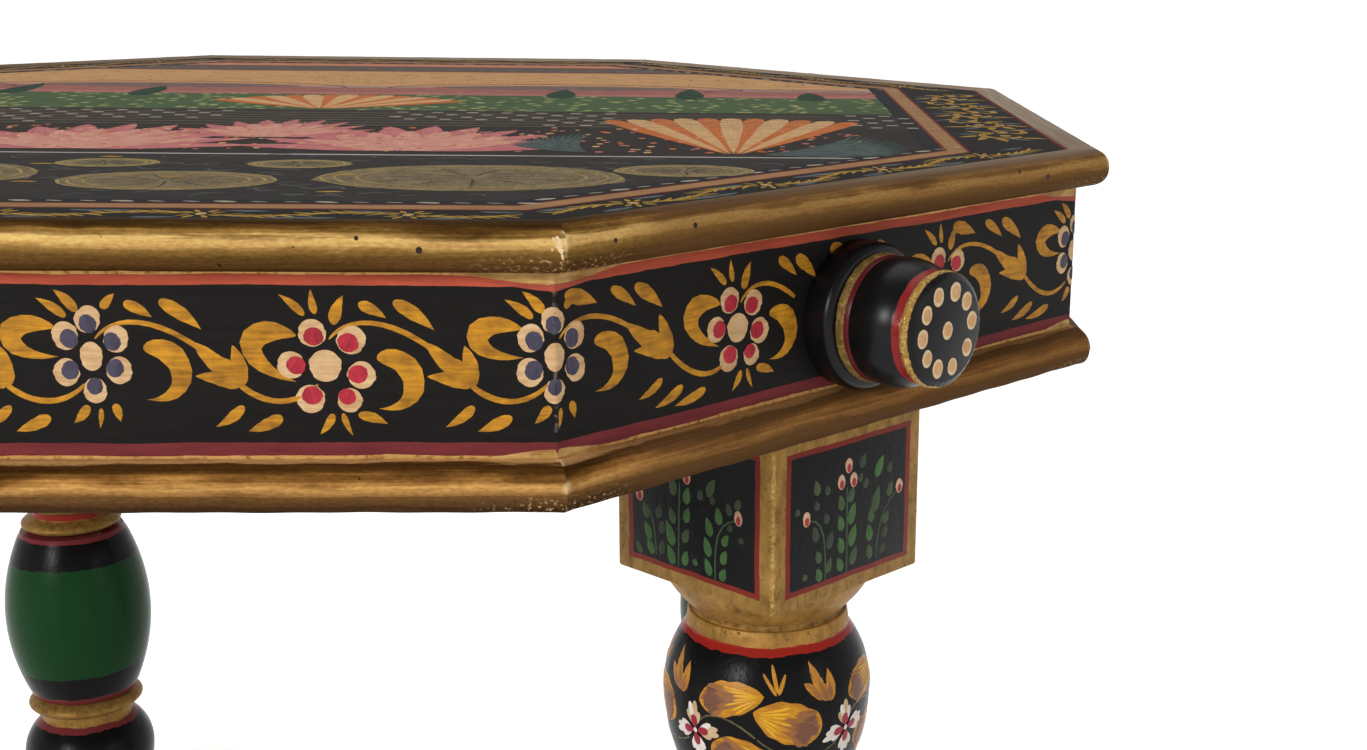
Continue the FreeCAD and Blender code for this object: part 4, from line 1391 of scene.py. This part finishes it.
# Places of the garden's forms: lotuses (x, y, width, height), pads (x, y, size), palm fans
# (x, y, size, spread, blades) and trees (x, foot, height)
lotuses = ((56, -138, 60, 78), (-56, -138, 60, 78), (0, -100, 40, 60))
pads = ((88, -203, 46), (-88, -203, 46), (0, -214, 32), (152, -184, 22), (-152, -184, 22), (30, -174, 16),
        (-30, -174, 16))
fans = ((168, -140, 118, 0.42, 11), (-168, -140, 118, 0.42, 11), (0, 4, 64, 0.95, 15))
trees = ((-205, 62, 36), (-150, 66, 46), (-92, 64, 40), (92, 64, 40), (150, 66, 46), (205, 62, 36))


def garden_marks():
    """Marks of the garden, by paint: mounds behind a hedge with trees, palm fans with
    plumes, rows of pale strokes on a wall, a bed of small flowers, and lotuses, pads and
    ripples on the pool."""
    random = np.random.default_rng(5)
    fan_x, lotus_x = fans[0][0], lotuses[0][0]
    found = {name: [] for name in ("mound", "haze", "pink", "rose", "pad", "vein", "rim", "orange", "cream",
                                   "wine", "ripple", "white", "tree", "yellow", "plume", "stem")}
    for way in (-1, 1):
        found["mound"] += [dot(way * 92, 96, 84, 17), dot(way * 196, 92, 40, 11)]
        found["haze"] += [dot(way * 92, 110, 60, 12)]
        found["wine"] += arch(way * 92, 104, 82, 26, 0.9, 16, math.pi)
        found["wine"] += arch(way * 196, 96, 38, 16, 0.9, 12, math.pi)
    found["mound"].append(dot(0, 92, 40, 12))
    for lotus in lotuses:
        for name, marks in zip(("pink", "rose", "wine"), lotus_marks(*lotus)):
            found[name] += marks
    for place in pads:
        pad, veins, rims = pad_marks(*place)
        found["pad"].append(pad)
        found["vein"] += veins
        found["rim"] += rims
    for x, y, size, spread, blades in fans:
        width = size * spread / blades * 1.02
        for number, lean in enumerate(fanned(spread, blades)):
            found["cream" if number % 2 else "orange"].append(
                leaf(*leant(x, y, lean, size, size), *leant(x, y, lean, size * 0.06, 0), width,
                     0.0, 0.22, 1.0))
            found["wine"] += [dot(*leant(x, y, lean, size * share, size * share), 0.8, 1.4)
                              for share in (0.55, 0.72, 0.88)]
    for row in range(6):
        level = -8 - 9 * row
        found["stem"].append(leaf(-214, level - 4.5, 214, level - 4.5, 0.5, 0.0, 0.02, 0.02))
        for number in range(34):
            x = -231 + 14 * number + (7 if row % 2 else 0)
            clear_of_lotus = abs(abs(x) - lotus_x) > 36 or level > -40
            if abs(abs(x) - fan_x) > 46 and abs(x) > 30 and clear_of_lotus:
                found["white"].append(leaf(x - 2.4, level, x + 2.4, level, 1.3, 0.0, 0.2, 0.2))
    for _ in range(420):
        x, y = random.uniform(-215, 215), random.uniform(-138, -62)
        size = random.uniform(0.8, 1.5)
        found[random.choice(["cream", "pink", "orange"])].append(dot(x, y, size, size * 1.3))
    for _ in range(240):
        x, y = random.uniform(-222, 222), random.uniform(-246, -152)
        size = random.uniform(5, 11)
        if abs(x) + abs(y) < 350:
            tip = ray(x, y, random.uniform(-0.5, 0.5), size)
            found["ripple"].append(leaf(x, y, *tip, 0.55, random.choice([-0.5, 0.5]), 0.5, 0.8))
    for _ in range(16):
        x, y = random.uniform(-200, 200), random.uniform(-240, -158)
        if abs(x) + abs(y) < 340:
            found["yellow"].append(leaf(x, y, x + 8, y + random.uniform(-1, 1), 1.2, 0.1, 0.6, 0.6))
    for x, level, tall in trees:
        found["tree"].append(leaf(x, level - 6, x, level + tall, 6.5, 0.0, 0.5, 1.0))
    for number in range(30):
        x = -210 + 14.5 * number
        found["rim"].append(leaf(x, 215, x + 6, 215 + (3 if number % 2 else -3), 0.8, 0.1, 0.6, 0.6))
    for way in (-1, 1):
        for number in range(19):
            lean = way * (0.5 + 0.055 * number)
            back = lean - way * 0.5
            long = 74 - 1.4 * number
            found["plume"] += [
                leaf(way * 178, -142, *leant(way * 178, -142, lean, long, long), 1.6, -0.12 * way, 0.5, 0.8),
                leaf(way * 118, -138, *leant(way * 118, -138, back, -0.7 * long, 0.8 * long), 1.1,
                     0.12 * way, 0.5, 0.8)]
    for _ in range(150):
        x, y = random.uniform(-215, 215), random.uniform(132, 192)
        found["wine"].append(dot(x, y, 0.7, 1.0))
    for x, y, size, tall in lotuses:
        for _ in range(46):
            lean, reach = random.uniform(-1.15, 1.15), random.uniform(0.3, 0.8)
            wide, high = size * reach, tall * reach
            found["wine"].append(dot(*leant(x, y, lean, wide, high), 0.7, 1.1))
            found["cream"].append(dot(x + wide * math.sin(lean * 0.8) + 3, y + high * math.cos(lean) + 2,
                                      0.6, 0.9))
    return {name: placed(marks) for name, marks in found.items()}


def paint_marks(name, paint, marks, place, slot, **options):
    """One object of brush marks in one paint."""
    return mesh_object(name, [painted(marks, place, **options)], paint, crease=180)


class TABLE_OT_boards(bpy.types.Operator):
    """Paint the boards of the top"""
    bl_idname = "table.boards"
    bl_label = "Painted boards"

    def execute(self, context):
        paint = top_paint()
        for number in range(1, 5):
            dress(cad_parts["top_board_%d" % number], paint)
        return {"FINISHED"}


class TABLE_OT_garden(bpy.types.Operator):
    """Paint the border scrolls and the garden on the top"""
    bl_idname = "table.garden"
    bl_label = "Garden and scrolls"

    def execute(self, context):
        marks = border_marks()
        marks.update(garden_marks())
        tones = {
            "scroll": ("#bb9443", "#846729"), "grey_leaf": ("#5f6a6c", "#454c4f"),
            "seed": ("#c7a26a", "#9c7b4a"), "dash": ("#b8ae98", "#8a806c"),
            "mound": ("#a0675c", "#85544c"), "haze": ("#7c6460", "#65504e"),
            "ripple": ("#64655f", "#484946"), "pad": ("#847355", "#615440"),
            "rim": ("#a8935a", "#7c6b44"), "vein": ("#4f4a3c", "#3b382e"),
            "wine": ("#71303a", "#572630"), "pink": ("#c47b76", "#a15a5f"),
            "rose": ("#d09a86", "#b5756b"), "orange": ("#c4713c", "#a85a2b"),
            "cream": ("#cda577", "#b58c5e"), "white": ("#bdb5a5", "#8f887b"),
            "tree": ("#2a4734", "#1f3427"), "stem": ("#93866e", "#6b604d"),
            "yellow": ("#b98f3a", "#8c6a28"), "plume": ("#55625d", "#363f40"),
        }
        for number, (name, (light, dark)) in enumerate(tones.items()):
            paint = brush_paint("top_" + name, light, dark, sheen=0.004)
            paint_marks("top_" + name, paint, marks[name], on_top, "painted_top", seed=30 + number,
                        layer=1 + number / 2, thick=0.006 * mm, rows=11)
        return {"FINISHED"}


class TABLE_OT_mouldings(bpy.types.Operator):
    """Make the gilt mouldings round the boards and under the apron"""
    bl_idname = "table.mouldings"
    bl_label = "Gilt mouldings"

    def execute(self, context):
        # Tones round each outline: a painted highlight along the crest, painted shade over the upper part and
        # underneath.
        nosing = ((0, "#35230f"), (8.6, "#3c280f"), (11.0, "#553a17"), (12.8, "#8a6733"),
                  (14.6, "#cfa866"), (15.9, "#cba25f"), (17.9, "#80602f"), (19.9, "#5e4221"),
                  (25.2, "#4e341a"))
        base = ((0, "#bd925d"), (15.0, "#c99d66"), (16.9, "#c3965f"), (18.2, "#4a2e14"),
                (20.6, "#4c3113"), (22.6, "#7a5226"), (24.2, "#a5763e"), (25.4, "#bd8f50"),
                (26.4, "#a27542"), (27.6, "#6e4e28"), (29.4, "#5f4226"), (31.5, "#422d19"))
        kinds = {"top": (nose_outline(), gilt_moulding("nosing", nosing, 19.0)),
                 "base": (base_outline(), gilt_moulding("base", base, 28.5))}
        for kind, (outline, paint) in kinds.items():
            for side, name in enumerate(side_names):
                seed = side + (1 if kind == "top" else 11)
                piece = mesh_object(kind + "_moulding_" + name, [moulding_shell(outline, side, seed)],
                                    paint)
                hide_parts(kind + "_bead_" + name)
        outline = kinds["top"][0][1:-1]
        middle = (top_level + board_level) / 2

        def on_nosing(x, z, height):
            """Nosing of the front side, unrolled onto all sides as the apron is."""
            side = np.floor(x / apron_side)
            level = middle + z
            reach = np.interp(level, outline[:, 1], outline[:, 0]) + height
            along = (x - (side + 0.5) * apron_side) * reach / apron_reach
            return turned(np.stack([along, -reach, level], -1), side)

        wax = brush_paint("pin_hole_wax", "#2a1a0c", "#160d06")
        pins = [dot((side + 0.5) * apron_side / mm + x, z, size, size * 1.1)
                for side in range(len(side_names))
                for x, z, size in ((-76, 2.4, 0.7), (69, 3.7, 0.5), (84, 0.8, 0.8), (-104, 1.6, 0.6))]
        paint_marks("pin_holes", wax, placed(pins), on_nosing, "gilt_moulding", thick=0.012 * mm)
        # Painted highlights: pale spots on the crest at three mitres of the nosing, where the rounded edge
        # would catch the light.
        highlight_paint = brush_paint("rubbed_gesso", "#ecd4a8", "#c9a56c")
        random = np.random.default_rng(77)
        highlight_spots = []
        highlighted_corners = (1, 4, 6)
        for corner in highlighted_corners:
            for x, z, wide, tall in ((-1.5, 2.2, 1.15, 2.3), (-2.9, 3.6, 0.45, 0.8),
                                     (-0.9, -0.4, 0.4, 0.8), (-3.4, 0.9, 0.3, 0.4)):
                x, z = corner * apron_side / mm + x - random.uniform(0, 0.3), z + random.uniform(-0.4, 0.4)
                highlight_spots.append(dot(x, z, wide * random.uniform(0.85, 1.05), tall, 0.2))
        paint_marks("rubbed_corners", highlight_paint, placed(highlight_spots), on_nosing, "gilt_moulding",
                    thick=0.015 * mm, wander=0.12)
        return {"FINISHED"}


class TABLE_OT_apron(bpy.types.Operator):
    """Paint the apron with its lines, vine and flowers"""
    bl_idname = "table.apron"
    bl_label = "Painted apron"

    def execute(self, context):
        paint = apron_paint()
        for name in side_names:
            dress(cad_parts["apron_" + name], paint)
        paints = settings("colours")
        vine, cream, red, violet, gold, brick = apron_marks()
        tones = {
            "brick_corners": (paints.brick, "#8f3d2d", brick, 0),
            "gold_corners": ("#d2a868", "#94692f", gold, 0.3),
            "vine": (paints.vine, "#8c5c16", vine, 0.4),
            "petals": (paints.petals, "#bd9263", cream, 0.8),
            "red_hearts": (paints.red_hearts, "#8f1f2d", red, 1.9),
            "violet_hearts": (paints.violet_hearts, "#35303f", violet, 1.9),
        }
        for number, (name, (light, dark, marks, layer)) in enumerate(tones.items()):
            grained = "hearts" not in name
            paint = brush_paint("apron_" + name, light, dark, grained=grained)
            paint_marks("apron_" + name, paint, marks, on_apron, "painted_apron", seed=41 + number,
                        rows=17, across=9, layer=layer, grained=grained)
        return {"FINISHED"}


class TABLE_OT_legs(bpy.types.Operator):
    """Turn and paint the legs"""
    bl_idname = "table.legs"
    bl_label = "Turned legs"

    def execute(self, context):
        leg = settings("legs")
        paint = leg_paint()
        levels = leg_levels()
        half = leg.block_width / 2
        axis = leg_axis()
        apron_back = apron_inner - axis
        turning, turning_uv = turning_shell()
        block, block_uv = square_shell(-half, half, levels["block_height"], base_low, leg.block_round)
        post, post_uv = square_shell(-apron_back, half, base_low, board_level, leg.block_round)
        shift = np.array([0, -axis, 0])
        for side in corner_sides:
            shells = [shell(turned(turning, side), turning_uv, wrap=True, caps=True),
                      shell(turned(block + shift, side), block_uv, wrap=True, caps=True),
                      shell(turned(post + shift, side), post_uv, wrap=True, caps=True)]
            piece = mesh_object("turned_leg_" + side_names[side], shells, paint, 35)
            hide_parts("leg_" + side_names[side])
        return {"FINISHED"}


class TABLE_OT_leg_flowers(bpy.types.Operator):
    """Paint plants on the blocks and leaves and blossoms on the bulbs"""
    bl_idname = "table.leg_flowers"
    bl_label = "Leg ornament"

    def execute(self, context):
        leg = settings("legs")
        levels = leg_levels()
        half = leg.block_width / 2
        widest = levels["bulb_upper"]
        tones = {
            "stalk": ("#33592c", "#24401f", 0), "shade_leaf": ("#2a3a20", "#1e2c17", 0.2),
            "dull_leaf": ("#3d5025", "#2b3f1c", 0.4), "leaf": ("#3f6a2e", "#2b5022", 0.6),
            "bud": ("#dcb698", "#c79476", 1), "heart": ("#b0302a", "#8c2222", 2),
            "line": ("#6b5f3a", "#4b4226", 0), "tuft": ("#cc8c28", "#9c6424", 0.2),
            "big": ("#d0901f", "#a3681f", 0.4), "umber": ("#a06a3c", "#85552f", 1.5),
            "rust": ("#805440", "#67412f", 2.4), "gleam": ("#e9b22c", "#cf9420", 2.0),
            "tan_petal": ("#d8bd94", "#bd9a70", 1.6), "petal": ("#ece6e0", "#d6cabd", 1.8),
            "core": ("#a81e38", "#841a30", 2.6), "eye": ("#efe9e2", "#d8ccbe", 3.6),
        }
        groups = {name: [] for name in tones}
        outline = leg_outline()
        order = np.argsort(outline[:, 1])
        for side in corner_sides:
            for face in range(4):
                spin = face * math.pi / 2
                seed = side * 10 + face

                def on_face(x, z, height, side=side, spin=spin):
                    """Face of a block: x along it, z over its foot."""
                    flat_x = x * math.cos(spin) + (half + height) * math.sin(spin)
                    flat_y = x * math.sin(spin) - (half + height) * math.cos(spin)
                    points = np.stack([flat_x, flat_y - leg_axis(), levels["block_height"] + z + x * 0], -1)
                    return turned(points, side)

                def on_bulb(x, z, height, side=side, spin=spin):
                    """Bulb, unrolled at its widest place round the edge of the block."""
                    level = widest + z
                    radius = np.interp(level, outline[order, 1], outline[order, 0]) + height
                    turn = x / (leg.bulb_width / 2) + spin - math.pi * 0.75
                    points = np.stack([radius * np.cos(turn), radius * np.sin(turn) - leg_axis(),
                                       level + x * 0], -1)
                    return turned(points, side)

                for name, marks in plants(face).items():
                    groups[name].append(painted(placed(marks), on_face, 9, 5, tones[name][2], seed))
                random = np.random.default_rng(seed)
                bulb = bulb_marks(random)
                bulb.update(blossom_marks(28.4, -6.8, random))
                for name, marks in bulb.items():
                    rows, across = (25, 13) if name == "big" else (11, 5)
                    groups[name].append(painted(placed(marks), on_bulb, rows, across, tones[name][2], seed))
        for name, (light, dark, _) in tones.items():
            paint = brush_paint("leg_" + name, light, dark, 0.35)
            mesh_object("leg_ornament_" + name, groups[name], paint, 180)
        return {"FINISHED"}


class TABLE_OT_bosses(bpy.types.Operator):
    """Turn and paint the bosses and their dots"""
    bl_idname = "table.bosses"
    bl_label = "Turned bosses"

    def execute(self, context):
        boss = settings("bosses")
        paint = boss_paint()
        cream = brush_paint("dot_cream", settings("colours").dots, "#dcb98a")
        tan = brush_paint("dot_tan", "#dfb281", "#c99762")
        dot_turns = (114, 74, 41, 7, -34, -76, -111, -143, -176, 149)
        dots, hollows = [], []
        for side in corner_sides:
            points, uv = boss_shell(side)
            piece = mesh_object("turned_boss_" + side_names[side], [shell(points, uv, wrap=True, caps=True)],
                                paint, 35)
            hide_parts("boss_" + side_names[side])
            random = np.random.default_rng(side + 60)

            def on_end(x, z, height, side=side):
                """Flat end of a boss."""
                flat = np.stack([x, -apron_reach - boss.end - height, boss_level + z], -1)
                return turned(flat, side)

            places = [(0.0, 0.0)] + [ray(0, 0, turn, boss.dot_reach) for turn in np.radians(dot_turns)]
            marks, eyes = [], []
            for x, z in places:
                size = boss.dot_width / 2 * random.uniform(0.97, 1.08)
                marks.append(dot(x, z, size, size))
                slip = random.uniform(-0.25, 0.25, 2) * mm
                eyes.append(dot(x + slip[0], z + slip[1], size * 0.6, size * 0.66))
            dots.append(painted(marks, on_end, 13, 7, seed=side, wander=0.03))
            hollows.append(painted(eyes, on_end, 11, 5, layer=1.2, seed=side + 9, wander=0.05))
        mesh_object("boss_dots", dots, cream, 180)
        mesh_object("boss_dot_middles", hollows, tan, 180)
        return {"FINISHED"}


class TABLE_OT_carcase(bpy.types.Operator):
    """Give the hidden wood and the nails their finish"""
    bl_idname = "table.carcase"
    bl_label = "Wood and nails"

    def execute(self, context):
        wood = bare_wood()
        iron = nail_iron()
        for name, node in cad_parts.items():
            if name.startswith(("glue_block", "cross_batten")):
                dress(node, wood)
            elif name.endswith(("nails", "pins")):
                dress(node, iron)
        return {"FINISHED"}


def add_lamp(name, place, aim, size, power):
    """Square area lamp at a place, turned to its aim."""
    data = bpy.data.lights.new(name, "AREA")
    data.shape = "SQUARE"
    data.size = size
    data.energy = power
    lamp = bpy.data.objects.new(name, data)
    bpy.context.scene.collection.objects.link(lamp)
    lamp.location = place
    lamp.rotation_mode = "QUATERNION"
    lamp.rotation_quaternion = (aim - Vector(place)).to_track_quat("-Z", "Y")


def seen_straight(tree):
    """One for a ray from the camera or by way of gloss or glass, zero for lit surfaces."""
    path = add_node(tree, "LightPath").node.outputs
    seen = path["Is Camera Ray"]
    for other in ("Is Glossy Ray", "Is Transmission Ray"):
        seen = add_node(tree, "Math", [seen, path[other]], operation="MAXIMUM")
    return seen


def white_floor():
    """Pale matt floor whose unshaded parts look white and which keeps the shadow."""
    material, tree = blank("pale_floor")
    matt = add_node(tree, "BsdfDiffuse", {"Color": "#efeeec"})
    strength = add_node(tree, "Math", [seen_straight(tree), 0.62], operation="MULTIPLY")
    glow = add_node(tree, "Emission", {"Strength": strength})
    both = add_node(tree, "AddShader", [matt, glow])
    add_node(tree, "OutputMaterial", {"Surface": both})
    return material


def studio_world():
    """Studio with white walls near the horizon, as the camera and gloss see it, a dim
    ceiling, and a plain dim light for matt surfaces."""
    world = bpy.data.worlds.new("plain_studio")
    world.use_nodes = True
    tree = world.node_tree
    tree.nodes.clear()
    way = add_node(tree, "TexCoord", output="Generated")
    rise = add_node(tree, "SeparateXYZ", [way], 2)
    wall = add_node(tree, "MapRange", [rise, 0.3, 0.55, 1.0, 0.3], interpolation_type="SMOOTHSTEP")
    shown = add_node(tree, "Background", {"Color": "#ffffff", "Strength": wall})
    dim = add_node(tree, "Background", {"Color": "#ffffff", "Strength": 0.5})
    both = add_node(tree, "MixShader", [seen_straight(tree), dim, shown])
    add_node(tree, "OutputWorld", {"Surface": both})
    return world


class TABLE_OT_stage(bpy.types.Operator):
    """Set the floor, the soft light and the camera"""
    bl_idname = "table.stage"
    bl_label = "Floor, light and camera"

    def execute(self, context):
        scene = context.scene
        floor_half = 9.0
        corners = [(-floor_half, -floor_half, 0), (floor_half, -floor_half, 0),
                   (floor_half, floor_half, 0), (-floor_half, floor_half, 0)]
        mesh = bpy.data.meshes.new("floor")
        mesh.from_pydata(corners, [], [(0, 1, 2, 3)])
        mesh.materials.append(white_floor())
        floor = bpy.data.objects.new("floor", mesh)
        scene.collection.objects.link(floor)
        scene.world = studio_world()

        aim = Vector((0, 0, top_level * 0.8))
        add_lamp("key", (-1.3, -2.2, 1.25), aim, 0.6, 36.0)
        add_lamp("fill", (2.4, -1.6, 1.0), aim, 1.0, 6.0)
        add_lamp("over", (0.2, 0.6, 2.4), aim, 1.6, 12.0)

        data = bpy.data.cameras.new("camera")
        data.sensor_width = 36.0
        data.lens = 47.9
        data.shift_x = -0.085
        camera = bpy.data.objects.new("camera", data)
        scene.collection.objects.link(camera)
        camera.location = (161.6 * mm, -756.9 * mm, 474.8 * mm)
        rise = math.radians(-13.81)
        swing = math.radians(-2.76)
        gaze = Vector((-math.sin(swing) * math.cos(rise), math.cos(swing) * math.cos(rise), math.sin(rise)))
        camera.rotation_mode = "QUATERNION"
        camera.rotation_quaternion = (gaze.to_track_quat("-Z", "Y")
                                      @ Quaternion((0, 0, 1), math.radians(0.78)))
        scene.camera = camera
        scene.view_settings.view_transform = "Standard"
        return {"FINISHED"}


class TABLE_PT_panel(bpy.types.Panel):
    """Lists the pieces of the table and their sizes and colours"""
    bl_label = "Painted table"
    bl_idname = "TABLE_PT_panel"
    bl_space_type = "VIEW_3D"
    bl_region_type = "UI"
    bl_category = "Table"

    def draw(self, context):
        for operator in operators:
            self.layout.operator(operator.bl_idname)
        for name, group in groups.items():
            box = self.layout.box()
            box.label(text=name.capitalize())
            for key in group.__annotations__:
                box.prop(settings(name), key)


groups = {"legs": LegSizes, "bosses": BossSizes, "top": TopSizes, "colours": PaintColours}
operators = (TABLE_OT_boards, TABLE_OT_mouldings, TABLE_OT_apron, TABLE_OT_legs, TABLE_OT_bosses,
             TABLE_OT_leg_flowers, TABLE_OT_garden, TABLE_OT_carcase, TABLE_OT_stage)
classes = tuple(groups.values()) + operators + (TABLE_PT_panel,)


def register():
    for item in classes:
        bpy.utils.register_class(item)
    for name, group in groups.items():
        setattr(bpy.types.Scene, "table_" + name, bpy.props.PointerProperty(type=group))


def unregister():
    for name in groups:
        delattr(bpy.types.Scene, "table_" + name)
    for item in reversed(classes):
        bpy.utils.unregister_class(item)


def main():
    register()
    bpy.ops.table.stage()
    bpy.ops.table.boards()
    bpy.ops.table.mouldings()
    bpy.ops.table.apron()
    bpy.ops.table.legs()
    bpy.ops.table.bosses()
    bpy.ops.table.leg_flowers()
    bpy.ops.table.garden()
    bpy.ops.table.carcase()


if __name__ == "__main__":
    main()
